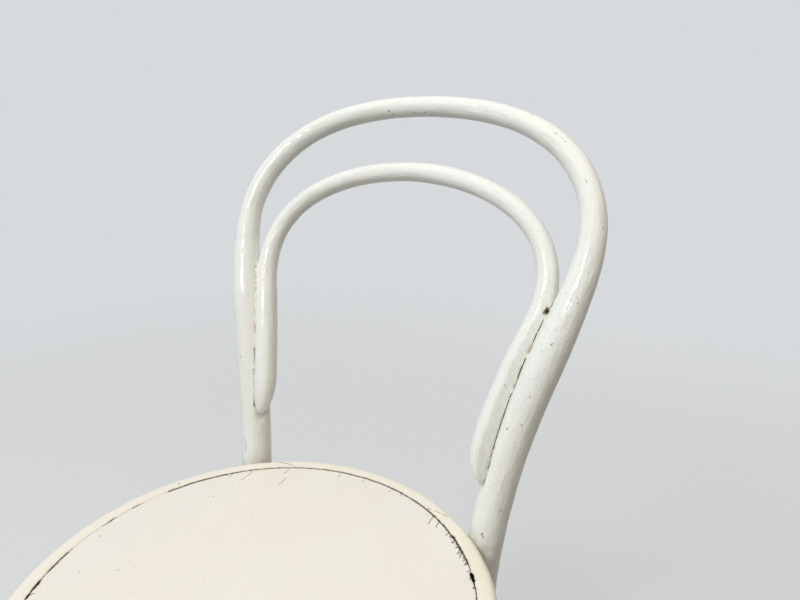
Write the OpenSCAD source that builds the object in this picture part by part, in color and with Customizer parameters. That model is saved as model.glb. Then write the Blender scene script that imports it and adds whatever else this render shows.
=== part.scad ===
// Bentwood side chair: a bent back bow with an inner hoop, a round seat, turned front legs
// and a leg ring. The origin is on the floor under the middle of the chair, +Z is up and
// the back is towards +Y. Sizes are in millimetres and angles in degrees.

/* [Seat] */
// Outside diameter of the seat ring
seat_d = 400; // [360:5:440]
// Height of the seat's top above the floor
seat_h = 460; // [420:5:500]
// Thickness of the seat ring
ring_t = 32; // [28:1:40]
// Width of the seat ring, from its outside to its inside
ring_w = 38; // [32:1:46]
// Rounding of the ring's outer edges
ring_round = 8; // [4:0.5:12]
// Width of the rim outside the panel
rim_w = 17.5; // [12:0.5:22]
// Thickness of the seat panel
panel_t = 9; // [6:0.5:12]
// Gap round the panel in its rebate
panel_gap = 0.6; // [0.2:0.1:1.5]

/* [Back bow] */
// Height of the bow's crown above the seat, at the middle of the rod
bow_rise = 379.5; // [330:0.5:430]
// Width of the bow at its widest, between the middles of the rod
bow_w = 389; // [350:1:420]
// Height above the seat where the bow is widest
bow_wide_at = 264; // [220:1:290]
// Width of the bow at its waist, between the middles of the rod
waist_w = 274; // [250:1:300]
// Depth below the seat where the waist is
waist_at = 76; // [40:1:100]
// Width between the rear feet, at the middles of the rod
rear_feet_w = 372; // [320:1:420]
// How far the crown stands behind the rod at the seat
crown_back = 150; // [100:1:180]
// How far the rear feet stand behind the rod at the seat
feet_back = 30; // [0:1:60]
// Lean of the rod at the seat
seat_lean = 10.5; // [4:0.5:14]
// Lean of the rod at the crown
crown_lean = 36.5; // [20:0.5:40]
// Lean of the rod at the rear feet, away from the chair
feet_lean = 11; // [0:0.5:20]

/* [Bow rod] */
// Diameter of the rod at the rear feet
rod_foot_d = 25; // [20:0.5:30]
// Diameter of the rod at the seat
rod_seat_d = 33.5; // [28:0.5:38]
// Diameter of the rod along the glued joint
rod_joint_d = 33.5; // [28:0.5:38]
// Diameter of the rod where the bow is widest
rod_wide_d = 24.5; // [20:0.5:30]
// Diameter of the rod at the crown
rod_crown_d = 21.5; // [18:0.5:28]
// Depth of the notch that the seat ring sits in
post_notch = 4; // [2:0.5:6]

/* [Inner hoop] */
// Diameter of the hoop's rod at its crown
hoop_d = 20; // [16:0.5:24]
// Diameter of the hoop's rod along the glued joint
hoop_leg_d = 24.5; // [18:0.5:28]
// Height of the hoop's tips above the seat
tip_at = 42; // [20:1:80]
// Height above the seat where the hoop leaves the bow
leave_at = 176; // [150:1:210]
// Distance from the hoop's crown up to the bow's crown, between the middles of the rods
crown_gap = 65.5; // [50:0.5:90]
// Length of each rounded tip
tip_len = 44; // [20:1:60]
// Wood taken off the two rods together where they are glued flat to flat
joint_cut = 5; // [2:0.5:8]
// How far the hoop's tips stand in front of the bow's bent surface
tip_forward = 12; // [0:0.5:14]
// How far the hoop stands behind that surface where it leaves the bow
leave_behind = 4; // [0:0.5:8]
// How far the hoop's crown stands behind that surface
hoop_behind = 10; // [0:1:20]

/* [Front legs] */
// Angle of each front leg from the front, round the seat
leg_angle = 42; // [34:1:50]
// Distance from the middle of the ring's width in to the leg's middle
leg_inset = 4; // [0:0.5:8]
// Splay of the front legs away from the seat's middle
leg_splay = 4.5; // [2:0.5:8]
// Diameter of the front leg at its shoulder
leg_top_d = 33; // [28:0.5:36]
// Diameter of the front leg at the floor
leg_foot_d = 24; // [20:0.5:28]
// Diameter of the tenon on the front leg
tenon_d = 16; // [12:0.5:20]
// Wood left above the tenon, under the panel
tenon_cover = 6; // [3:0.5:10]
// Space above the tenon in its hole
tenon_space = 1; // [0.5:0.5:2]

/* [Leg ring] */
// Height of the leg ring above the floor, at the middle of its rod
leg_ring_h = 265; // [220:5:300]
// Diameter of the leg ring's rod
leg_ring_rod_d = 20; // [16:0.5:24]
// How deep the leg ring is scribed over each front leg
leg_ring_notch = 2; // [1:0.5:4]

/* [Bolts] */
// Diameter of the bolts from the bow to the seat ring
bolt_d = 6; // [5:0.5:8]
// Diameter of the bolt's round head
bolt_head_d = 16; // [12:0.5:20]
// Height of the bolt's round head
bolt_head_t = 3.5; // [2:0.5:5]
// Depth of the flat that the bolt's head sits on
bolt_sink = 2.5; // [1:0.5:4]
// Length of bolt that shows past the nut
bolt_past_nut = 3; // [1:0.5:8]
// Distance across the nut's flats
nut_w = 10; // [8:0.5:13]
// Thickness of the nut
nut_t = 5; // [4:0.5:7]
// Diameter of the washer
washer_d = 14; // [12:0.5:18]
// Thickness of the washer
washer_t = 1.5; // [1:0.1:2.5]
// Depth of the flat that the washer sits on
washer_sink = 1; // [0.5:0.1:2]

/* [Screws] */
// Diameter of the wood screws
screw_d = 4; // [3:0.5:5]
// Diameter of the wood screws' heads
screw_head_d = 8; // [6:0.5:9]
// How far each head is sunk below the wood
screw_sink = 0.8; // [0.4:0.1:1.5]
// Depth of wood that each screw holds in the second piece
screw_bite = 13; // [8:1:16]
// Height above the seat of the screws through the inner hoop
hoop_screw_at = 160; // [120:5:170]

/* [Gaps] */
// Gap round a bolt or a screw in the piece it passes
hole_gap = 0.25; // [0.1:0.05:0.5]
// Gap round a screw in the piece it is driven into, and round a bolt in its nut
thread_gap = 0.05; // [0.02:0.01:0.1]
// Gap between two pieces of wood that are scribed to fit
fit_gap = 0.15; // [0.05:0.05:0.4]
// Glue line between the flats of the bow and the hoop
glue_gap = 0.35; // [0.2:0.05:0.6]

/* [Hidden] */
$fn = 96;
sides = [-1, 1];

// How far each bend's handles reach, as shares of the stretch that they shape
waist_up = 0.55;
wide_down = 0.2;
wide_up = 0.32;
crown_out = 0.87;
leave_up = 0.88;
hoop_crown_out = 0.5;
leg_bend = 0.35;

// Share of the glued joint's cut that is taken off the bow
bow_share = 0.3;
// Share of the way up to the bow's widest place where its rod starts to thin
full_share = 0.66;

// Steps along each stretch of a rod, and corners round it
foot_steps = 16;
side_steps = 26;
crown_steps = 20;
rod_sides = 20;

// Heights are measured from the seat's top in all that follows, so the floor is at -seat_h
seat_r = seat_d / 2;
floor_z = -seat_h;
ring_in_r = seat_r - ring_w;
panel_r = seat_r - rim_w - panel_gap;
ledge_z = -(panel_t + ring_t) / 2;
spare = 10;

function unit(v) = v / norm(v);
function mix(a, b, t) = a + (b - a) * t;
function bezier(a, b, c, d, t) =
  pow(1 - t, 3) * a + 3 * pow(1 - t, 2) * t * b + 3 * (1 - t) * t * t * c + pow(t, 3) * d;
function curve(a, b, c, d, n) = [for (i = [1:n]) bezier(a, b, c, d, i / n)];

// Front view of half the bow as [half-width, height], from the foot to the crown
foot = [rear_feet_w / 2, floor_z];
waist = [waist_w / 2, -waist_at];
wide = [bow_w / 2, bow_wide_at];
crown = [0, bow_rise];
leg_pull = leg_bend * (seat_h - waist_at);
side_h = bow_wide_at + waist_at;
bow_outline = concat(
  [foot - [0, spare], foot],
  curve(foot, foot + [-0.2, 1] * leg_pull, waist - [0, leg_pull], waist, foot_steps),
  curve(waist, waist + [0, waist_up * side_h], wide - [0, wide_down * side_h], wide, side_steps),
  curve(wide, wide + [0, wide_up * (bow_rise - bow_wide_at)], crown + [crown_out * wide.x, 0],
        crown, crown_steps)
);
side_table = [for (p = bow_outline) if (p.y < bow_wide_at) [p.y, p.x]];
function half_width(z) = lookup(z, side_table);

// Side view of the bow: how far it stands behind its own place at the seat
function behind(z) =
  z > 0
    ? bezier(0, tan(seat_lean) * bow_rise / 3, crown_back - tan(crown_lean) * bow_rise / 3,
             crown_back, z / bow_rise)
    : bezier(0, -tan(seat_lean) * seat_h / 3, feet_back - tan(feet_lean) * seat_h / 3,
             feet_back, -z / seat_h);
function lean(z) = atan((behind(z + 1) - behind(z - 1)) / 2);

function rod_r(z) =
  lookup(z, [
    [floor_z, rod_foot_d / 2], [-ring_t, rod_seat_d / 2],
    [full_share * bow_wide_at, rod_joint_d / 2], [bow_wide_at, rod_wide_d / 2],
    [bow_rise, rod_crown_d / 2]
  ]);

// The notch on the seat ring fixes how far behind the seat's middle the bow stands
post_from_axis = seat_r + rod_r(ledge_z) - post_notch;
post_turn = asin(half_width(ledge_z) / post_from_axis);
bow_y = post_from_axis * cos(post_turn) - behind(ledge_z);

// The origin is under the middle of the chair's depth, from the seat's front to the crown's back
seat_y = (seat_r - bow_y - crown_back - rod_crown_d / 2) / 2;

function bow_point(x, z) = [x, bow_y + behind(z), z];
function mirrored(p) = [-p.x, p.y, p.z];
function whole(half) =
  concat([for (p = half) mirrored(p)], [for (i = [len(half) - 2:-1:0]) half[i]]);
bow_path = whole([for (p = bow_outline) bow_point(p.x, p.y)]);

// Directions across a rod: out of its front, and towards the inside of its loop
function front(z) = [0, -cos(lean(z)), sin(lean(z))];
function along(path, i) = unit(path[min(i + 1, len(path) - 1)] - path[max(i - 1, 0)]);
function inside(path, i) = unit(cross(along(path, i), front(path[i].z)));

// The hoop's legs lie along the inside of the bow, a joint's cut closer than round on round
function spacing(z) = rod_r(z) + hoop_leg_d / 2 - joint_cut;
function hoop_leg(z) =
  let (
    slope = (half_width(z + 2) - half_width(z - 2)) / 4,
    to_inside = unit(cross(front(z), [slope, tan(lean(z)), 1])),
    out_front = mix(tip_forward, -leave_behind, (z - tip_at) / (leave_at - tip_at)),
    across = sqrt(pow(spacing(z), 2) - pow(out_front, 2))
  )
  bow_point(half_width(z), z) + across * to_inside + out_front * front(z);

// Above the joint the hoop curves over to its own crown
hoop_rise = bow_rise - crown_gap;
leave = hoop_leg(leave_at);
leave_dir = unit(leave - hoop_leg(leave_at - 3));
hoop_crown = bow_point(0, hoop_rise) + [0, hoop_behind, 0];
hoop_half = concat(
  [for (i = [0:side_steps]) hoop_leg(mix(tip_at, leave_at, pow(i / side_steps, 1.6)))],
  curve(leave, leave + leave_dir * leave_up * (hoop_rise - leave.z),
        hoop_crown + [hoop_crown_out * leave.x, 0, 0], hoop_crown, crown_steps)
);
hoop_path = whole(hoop_half);
hoop_thin_at = (leave_at + hoop_rise) / 2;
function hoop_r(z) = lookup(z, [[leave_at, hoop_leg_d / 2], [hoop_thin_at, hoop_d / 2]]);

// Roundness of a tip, from nearly 0 at its end to 1 where the rod is full
tip_z = hoop_half[0].z;
function tip_share(z) = sqrt(max(0.03, 1 - pow(1 - min(1, (z - tip_z) / tip_len), 2)));

// Index of a path's point that is nearest to a given point
function nearest(p, path, i = 0, best = 0) =
  i == len(path) ? best
    : nearest(p, path, i + 1, norm(path[i] - p) < norm(path[best] - p) ? i : best);

// The flat on one rod against the other, as [its direction in the section, its distance]
function flat_on(path, i, r, other, other_r, share) =
  let (
    to_other = other - path[i],
    across = [to_other * inside(path, i), to_other * front(path[i].z)],
    meets = abs(to_other * along(path, i)) < tip_len / 4,
    cut = meets ? max(0, r + other_r - norm(across)) : 0
  )
  [unit(across), cut > 0 ? r - share * cut - glue_gap / 2 : 2 * r];

// Corners round a rod at one point of its path, cut flat where the section reaches past the flat
function corners(at, path, i, r, dir, flat) = [
  for (k = [0:rod_sides - 1])
    let (
      round = r * [cos(360 * k / rod_sides), sin(360 * k / rod_sides)],
      cut = round - max(0, round * dir - flat) * dir
    )
    at + cut.x * inside(path, i) + cut.y * front(path[i].z)
];

function bow_ring(i) =
  let (
    p = bow_path[i],
    other = hoop_path[nearest(p, hoop_path)],
    f = flat_on(bow_path, i, rod_r(p.z), other, hoop_r(other.z), bow_share)
  )
  corners(p, bow_path, i, rod_r(p.z), f[0], f[1]);

// A tip thins towards the bow, so that its flat stays on the joint
function hoop_ring(i) =
  let (
    p = hoop_path[i],
    full = hoop_r(p.z),
    r = full * tip_share(p.z),
    other = bow_path[nearest(p, bow_path)],
    f = flat_on(hoop_path, i, full, other, rod_r(other.z), 1 - bow_share),
    slip = (full - r) * f[0],
    middle = p + slip.x * inside(hoop_path, i) + slip.y * front(p.z)
  )
  corners(middle, hoop_path, i, r, f[0], f[1] - (full - r));

module tube(rings) {
  last = len(rings) - 1;
  polyhedron(
    points = [for (ring = rings) each ring],
    faces = concat(
      [[for (k = [0:rod_sides - 1]) k]],
      [
        for (i = [0:last - 1], k = [0:rod_sides - 1])
          let (a = i * rod_sides + k, b = i * rod_sides + (k + 1) % rod_sides)
          each [[a, b + rod_sides, b], [a, a + rod_sides, b + rod_sides]]
      ],
      [[for (k = [rod_sides - 1:-1:0]) last * rod_sides + k]]
    )
  );
}

// Puts a piece drawn from the seat's top and middle into the chair
module on_seat() {
  translate([0, seat_y, seat_h]) children();
}

// Turns a piece so that its +Z runs from a point along a direction
module aimed(from, dir) {
  translate(from) rotate([0, acos(dir.z / norm(dir)), atan2(dir.y, dir.x)]) children();
}

// Points and directions of the fasteners, each as [where the head's side starts, direction]
function post_dir(side) = [side * sin(post_turn), cos(post_turn), 0];
function leg_dir(side) = [side * sin(leg_angle), -cos(leg_angle), 0];
head_at = post_from_axis + rod_r(ledge_z) - bolt_sink;
washer_at = ring_in_r + washer_sink;
nut_at = washer_at - washer_t;
bolt_end = nut_at - nut_t - bolt_past_nut;

// Holes for the bolts, between two distances from the seat's axis
module bolt_holes(d, from, to) {
  for (side = sides) {
    aimed(from * post_dir(side) + [0, 0, ledge_z], post_dir(side)) cylinder(d = d, h = to - from);
  }
}

// A countersunk screw with its head's top at z = 0, or the hole for it when it is grown
module screw(length, grow = 0) {
  taper = (screw_head_d - screw_d) / 2;
  cylinder(d1 = screw_head_d + 2 * grow, d2 = screw_d + 2 * grow, h = taper);
  cylinder(d = screw_d + 2 * grow, h = length - screw_d);
  translate([0, 0, length - screw_d])
    cylinder(d1 = screw_d + 2 * grow, d2 = screw_d / 2 + 2 * grow, h = screw_d);
}

module clear_hole(length) {
  screw(length, hole_gap);
  translate([0, 0, -spare]) cylinder(d = screw_head_d + 2 * hole_gap, h = spare);
}

// Screws from the inside of the hoop into the bow
hoop_screw_from = hoop_leg(hoop_screw_at);
hoop_screw_to = bow_point(half_width(hoop_screw_from.z), hoop_screw_from.z);
hoop_screw_dir = unit(hoop_screw_to - hoop_screw_from);
hoop_screw_len = hoop_leg_d - joint_cut - screw_sink + screw_bite;
module at_hoop_screws() {
  head = hoop_screw_from - (hoop_leg_d / 2 - screw_sink) * hoop_screw_dir;
  aimed(head, hoop_screw_dir) children();
  aimed(mirrored(head), mirrored(hoop_screw_dir)) children();
}

// The front leg's own frame: the middle of its shoulder at the origin, its axis along +Z
leg_axis_r = (seat_r + ring_in_r) / 2 - leg_inset;
tenon_len = ring_t - panel_t - tenon_cover;
module at_leg(side) {
  translate([0, 0, -ring_t] + leg_axis_r * leg_dir(side))
    rotate([0, 0, 180 + side * leg_angle]) rotate([leg_splay, 0, 0]) children();
}

// Screws from the inside of the seat ring into the front legs' tenons
module at_tenon_screw(side) {
  aimed((ring_in_r + screw_sink) * leg_dir(side) + [0, 0, ledge_z], leg_dir(side)) children();
}
tenon_screw_len = leg_axis_r + tenon_d / 4 - ring_in_r;

// The leg ring is the circle that touches the inner sides of all four legs
leg_ring_z = leg_ring_h - seat_h;
front_leg_out = leg_axis_r + (-ring_t - leg_ring_z) * tan(leg_splay);
front_leg_at = front_leg_out * leg_dir(1);
rear_leg_at = bow_point(half_width(leg_ring_z), 0) + [0, behind(leg_ring_z), 0];
leg_ring_y = (rear_leg_at * rear_leg_at - front_leg_at * front_leg_at) / 2
  / (rear_leg_at.y - front_leg_at.y);
leg_ring_at = [0, leg_ring_y, 0];
front_leg_r = mix(leg_foot_d, leg_top_d, leg_ring_h / (seat_h - ring_t)) / 2;
leg_ring_out_r = norm(front_leg_at - leg_ring_at) - front_leg_r + leg_ring_notch;
leg_ring_r = leg_ring_out_r - leg_ring_rod_d / 2;
leg_screw_len = leg_ring_rod_d - leg_ring_notch - screw_sink + screw_bite;
module at_leg_screw(leg) {
  dir = unit(leg - leg_ring_at);
  from = leg_ring_out_r - leg_ring_rod_d + screw_sink;
  aimed(leg_ring_at + from * dir + [0, 0, leg_ring_z], dir) children();
}
four_legs = [front_leg_at, mirrored(front_leg_at), rear_leg_at, mirrored(rear_leg_at)];

// Section of the seat ring, right of its axis, with its rim rounded and grown by a gap
module ring_section(grow = 0) {
  round_at = seat_r - ring_round;
  translate([ring_in_r, -ring_t - grow]) square([ring_w - ring_round, ring_t + 2 * grow]);
  translate([round_at, -ring_t + ring_round])
    square([ring_round + grow, ring_t - 2 * ring_round]);
  translate([round_at, -ring_round]) circle(r = ring_round + grow);
  translate([round_at, -ring_t + ring_round]) circle(r = ring_round + grow);
}

module back_bow() {
  color("antiquewhite") on_seat() difference() {
    tube([for (i = [0:len(bow_path) - 1]) bow_ring(i)]);
    rotate_extrude() ring_section(fit_gap);
    bolt_holes(bolt_d + 2 * hole_gap, seat_r - spare, head_at + spare);
    bolt_holes(bolt_head_d + 4 * hole_gap, head_at, head_at + 2 * spare);
    at_hoop_screws() screw(hoop_screw_len + 1, thread_gap);
    for (leg = [four_legs[2], four_legs[3]]) {
      at_leg_screw(leg) screw(leg_screw_len + 1, thread_gap);
    }
    translate([-seat_d, 0, floor_z - 4 * spare]) cube([2 * seat_d, seat_d, 4 * spare]);
  }
}

module inner_hoop() {
  color("antiquewhite") on_seat() difference() {
    tube([for (i = [0:len(hoop_path) - 1]) hoop_ring(i)]);
    at_hoop_screws() clear_hole(hoop_screw_len + 1);
  }
}

module seat_ring() {
  color("linen") on_seat() difference() {
    rotate_extrude() difference() {
      ring_section();
      translate([ring_in_r - spare, -panel_t]) square([ring_w - rim_w + spare, panel_t + spare]);
    }
    bolt_holes(bolt_d + 2 * hole_gap, ring_in_r - spare, seat_r + spare);
    bolt_holes(washer_d + 4 * hole_gap, ring_in_r - spare, washer_at);
    for (side = sides) {
      at_leg(side) translate([0, 0, -spare])
        cylinder(d = tenon_d + 2 * fit_gap, h = tenon_len + tenon_space + spare);
      at_tenon_screw(side) clear_hole(tenon_screw_len + 1);
    }
  }
}

module seat_panel() {
  color("linen") on_seat() translate([0, 0, -panel_t]) cylinder(r = panel_r, h = panel_t);
}

// The turned body of a front leg, grown by a gap where another piece is scribed to it
module leg_body(side, grow = 0) {
  length = (seat_h - ring_t) / cos(leg_splay);
  slope = (leg_top_d - leg_foot_d) / length;
  at_leg(side) translate([0, 0, -length - spare])
    cylinder(d1 = leg_foot_d - slope * spare + 2 * grow, d2 = leg_top_d + slope * spare + 2 * grow,
             h = length + 2 * spare);
}

module front_leg(side) {
  color("antiquewhite") on_seat() difference() {
    union() {
      intersection() {
        leg_body(side);
        translate([-seat_d, -seat_d, floor_z]) cube([2 * seat_d, seat_d, seat_h - ring_t]);
      }
      at_leg(side) translate([0, 0, -spare]) cylinder(d = tenon_d, h = tenon_len + spare);
    }
    at_tenon_screw(side) screw(tenon_screw_len + 1, thread_gap);
    at_leg_screw(four_legs[side > 0 ? 0 : 1]) screw(leg_screw_len + 1, thread_gap);
  }
}

module front_leg_left() {
  front_leg(-1);
}

module front_leg_right() {
  front_leg(1);
}

module leg_ring() {
  rod = [for (side = sides) [side * half_width(leg_ring_z), bow_y + behind(leg_ring_z), leg_ring_z]];
  rise = [half_width(leg_ring_z + spare) - half_width(leg_ring_z - spare),
          behind(leg_ring_z + spare) - behind(leg_ring_z - spare), 2 * spare];
  color("antiquewhite") on_seat() difference() {
    translate(leg_ring_at + [0, 0, leg_ring_z]) rotate_extrude()
      translate([leg_ring_r, 0]) circle(d = leg_ring_rod_d);
    for (side = sides) {
      leg_body(side, fit_gap);
      up = [side * rise.x, rise.y, rise.z];
      aimed(rod[side > 0 ? 1 : 0] - up, up)
        cylinder(r = rod_r(leg_ring_z) + 2 * fit_gap, h = 2 * norm(up));
    }
    for (leg = four_legs) at_leg_screw(leg) clear_hole(leg_screw_len + 1);
  }
}

module bow_bolts() {
  cap_r = (pow(bolt_head_d / 2, 2) + pow(bolt_head_t, 2)) / (2 * bolt_head_t);
  color("ivory") on_seat() for (side = sides) {
    aimed([0, 0, ledge_z], post_dir(side)) {
      translate([0, 0, bolt_end]) cylinder(d = bolt_d, h = head_at - bolt_end + 1);
      intersection() {
        translate([0, 0, head_at + bolt_head_t - cap_r]) sphere(r = cap_r);
        translate([0, 0, head_at]) cylinder(d = bolt_head_d + 1, h = bolt_head_t + 1);
      }
    }
  }
}

module bow_bolt_washers() {
  color("silver") on_seat() for (side = sides) {
    aimed([0, 0, ledge_z] + nut_at * post_dir(side), post_dir(side)) difference() {
      cylinder(d = washer_d, h = washer_t);
      translate([0, 0, -1]) cylinder(d = bolt_d + 2 * hole_gap, h = washer_t + 2);
    }
  }
}

module bow_bolt_nuts() {
  color("silver") on_seat() for (side = sides) {
    aimed([0, 0, ledge_z] + (nut_at - nut_t) * post_dir(side), post_dir(side)) difference() {
      cylinder(d = nut_w / cos(30), h = nut_t, $fn = 6);
      translate([0, 0, -1]) cylinder(d = bolt_d + 2 * thread_gap, h = nut_t + 2);
    }
  }
}

module inner_hoop_screws() {
  color("ivory") on_seat() at_hoop_screws() screw(hoop_screw_len);
}

module front_leg_screws() {
  color("silver") on_seat() for (side = sides) at_tenon_screw(side) screw(tenon_screw_len);
}

module leg_ring_screws() {
  color("ivory") on_seat() for (leg = four_legs) at_leg_screw(leg) screw(leg_screw_len);
}

back_bow();
inner_hoop();
seat_ring();
seat_panel();
front_leg_left();
front_leg_right();
leg_ring();
bow_bolts();
bow_bolt_washers();
bow_bolt_nuts();
inner_hoop_screws();
front_leg_screws();
leg_ring_screws();
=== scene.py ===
import math

import bmesh
import bpy
import numpy as np
from mathutils import Matrix, Vector


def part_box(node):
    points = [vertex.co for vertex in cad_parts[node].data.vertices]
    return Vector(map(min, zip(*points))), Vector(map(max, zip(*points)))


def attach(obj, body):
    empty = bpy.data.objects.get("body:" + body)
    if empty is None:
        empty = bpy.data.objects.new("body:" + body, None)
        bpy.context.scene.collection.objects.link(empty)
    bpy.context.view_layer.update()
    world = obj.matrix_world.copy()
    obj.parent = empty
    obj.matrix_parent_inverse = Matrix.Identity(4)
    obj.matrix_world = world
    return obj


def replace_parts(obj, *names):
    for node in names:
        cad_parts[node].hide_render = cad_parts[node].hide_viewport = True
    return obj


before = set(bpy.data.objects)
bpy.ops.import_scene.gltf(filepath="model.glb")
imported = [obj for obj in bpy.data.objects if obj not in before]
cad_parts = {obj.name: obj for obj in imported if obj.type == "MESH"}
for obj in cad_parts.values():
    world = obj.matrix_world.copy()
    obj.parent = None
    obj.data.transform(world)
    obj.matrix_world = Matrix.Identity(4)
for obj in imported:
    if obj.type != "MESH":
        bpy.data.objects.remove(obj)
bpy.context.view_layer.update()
print("frame loaded:", len(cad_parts), "nodes")

mm = 0.001

# Pieces are drawn in millimetres from the middle of the seat's top, and put into the frame last
ringLow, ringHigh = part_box("seat_ring")
panelLow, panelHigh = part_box("seat_panel")
seatMiddle = Vector((0, (ringLow.y + ringHigh.y) / 2, ringHigh.z))
seatR = (ringHigh.x - ringLow.x) / 2 / mm
ringT = (ringHigh.z - ringLow.z) / mm
panelT = (panelHigh.z - panelLow.z) / mm
floorZ = -seatMiddle.z / mm

camera = {
    "at": (299.07, -298.49, 378.34),     # mm from the middle of the seat's top
    "yaw": -28.6, "pitch": -17.45, "roll": 0.06,
    "lens": 27.518, "sensor": 36,
}

light = {
    "aim": (0, 200, 180),                # a point in the chair's back
    # Degrees from the front to the right, degrees up, mm away, mm wide, watts, colour, seen in the gloss
    "lamps": {
        "softLamp": (-36, 51, 4200, 1200, 90, "#f9fcff", False),
        "window": (-10, 36, 4200, 950, 32, "#ffffff", True),
        "backFill": (180, 6, 3000, 1500, 16, "#ffffff", False),
        "sideGlow": (52, 66, 1000, 500, 2.9, "#fffaf0", False),
    },
    "sky": "#e8f0ff", "warmSide": "#f6e0b6",      # cooler from the left, warmer from the right
    "tintTo": 0.9,                                # how far to each side the tint goes on changing
    "skyBelow": 0.3, "skyAbove": 0.46,            # strength from below and from overhead
    "skyTurns": 0.25,                             # height where the strength starts to grow
    "backdrop": "#d7dadc",
}

floor = {
    "radius": 6000,                      # mm
    "fadeFrom": 900, "fadeTo": 2600,     # mm from the chair, where the board starts and ends to fade
    "plainShare": 0.5,                   # of the backdrop's plain colour near the chair
    "colour": "#e4e6e8",                 # as it is seen
    "bounce": "#8e8d8a",                 # as it lights the chair from below
}


def unit(v):
    v = np.asarray(v, float)
    return v / np.linalg.norm(v, axis=-1, keepdims=True)


def toLinear(hexText):
    values = [int(hexText[i:i + 2], 16) / 255 for i in (1, 3, 5)]
    return (*[v / 12.92 if v <= 0.04045 else ((v + 0.055) / 1.055) ** 2.4 for v in values], 1)


def intoFrame(point):
    return seatMiddle + Vector(point) * mm


def addObject(name, data):
    made = bpy.data.objects.new(name, data)
    bpy.context.collection.objects.link(made)
    return made


def emptyMaterial(name):
    material = bpy.data.materials.new(name)
    material.use_nodes = True
    material.node_tree.nodes.clear()
    return material, material.node_tree


# Settings name a property or a socket of the new node, and links give a socket its source
def addNode(tree, kind, settings=None, links=None):
    made = tree.nodes.new(kind)
    for key, value in (settings or {}).items():
        if isinstance(key, str) and hasattr(made, key):
            setattr(made, key, value)
        else:
            colour = isinstance(value, str) and value.startswith("#")
            made.inputs[key].default_value = toLinear(value) if colour else value
    for key, source in (links or {}).items():
        tree.links.new(source, made.inputs[key])
    return made


def makeCamera():
    made = addObject("camera", bpy.data.cameras.new("camera"))
    yaw, pitch, roll = (math.radians(camera[k]) for k in ("yaw", "pitch", "roll"))
    forward = Vector((math.sin(yaw) * math.cos(pitch), math.cos(yaw) * math.cos(pitch), math.sin(pitch)))
    right = forward.cross(Vector((0, 0, 1))).normalized()
    up = right.cross(forward)
    turned = Matrix((right, up, -forward)).transposed() @ Matrix.Rotation(roll, 3, "Z")
    made.matrix_world = Matrix.Translation(intoFrame(camera["at"])) @ turned.to_4x4()
    made.data.lens = camera["lens"]
    made.data.sensor_width = camera["sensor"]
    made.data.clip_start = 0.01
    bpy.context.scene.camera = made


def makeLamps():
    for name, (turn, height, away, size, power, colour, mirrored) in light["lamps"].items():
        data = bpy.data.lights.new(name, "AREA")
        data.shape = "DISK"
        data.size = size * mm
        data.energy = power
        data.color = toLinear(colour)[:3]
        made = addObject(name, data)
        turn, height = math.radians(turn), math.radians(height)
        level = math.cos(height)
        towards = Vector((math.sin(turn) * level, -math.cos(turn) * level, math.sin(height)))
        made.location = intoFrame(light["aim"]) + towards * away * mm
        made.rotation_euler = towards.to_track_quat("Z", "Y").to_euler()
        made.visible_glossy = mirrored


# 1 for what the camera sees, straight or in a reflection or through glass
def seenDirectly(tree):
    path = addNode(tree, "ShaderNodeLightPath")
    either = addNode(tree, "ShaderNodeMath", {"operation": "MAXIMUM"}, {
        0: path.outputs["Is Camera Ray"], 1: path.outputs["Is Glossy Ray"]})
    return addNode(tree, "ShaderNodeMath", {"operation": "MAXIMUM"}, {
        0: either.outputs[0], 1: path.outputs["Is Transmission Ray"]}).outputs[0]


# A soft sky lights the chair, and a plain backdrop is seen behind it
def makeWorld():
    world = bpy.data.worlds.new("softRoom")
    bpy.context.scene.world = world
    world.use_nodes = True
    tree = world.node_tree
    tree.nodes.clear()
    place = addNode(tree, "ShaderNodeTexCoord")
    ways = addNode(tree, "ShaderNodeSeparateXYZ", {}, {0: place.outputs["Generated"]})
    right = addNode(tree, "ShaderNodeMapRange", {1: -light["tintTo"], 2: light["tintTo"]}, {
        0: ways.outputs["X"]})
    tint = addNode(tree, "ShaderNodeMix", {"data_type": "RGBA", 6: light["sky"], 7: light["warmSide"]}, {
        0: right.outputs[0]})
    high = addNode(tree, "ShaderNodeMapRange", {
        1: light["skyTurns"], 2: 1, 3: light["skyBelow"], 4: light["skyAbove"]}, {0: ways.outputs["Z"]})
    sky = addNode(tree, "ShaderNodeBackground", {}, {"Color": tint.outputs[2], "Strength": high.outputs[0]})
    seen = addNode(tree, "ShaderNodeBackground", {"Color": light["backdrop"], "Strength": 1})
    mixed = addNode(tree, "ShaderNodeMixShader", {}, {
        0: seenDirectly(tree), 1: sky.outputs[0], 2: seen.outputs[0]})
    addNode(tree, "ShaderNodeOutputWorld", {}, {0: mixed.outputs[0]})


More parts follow.
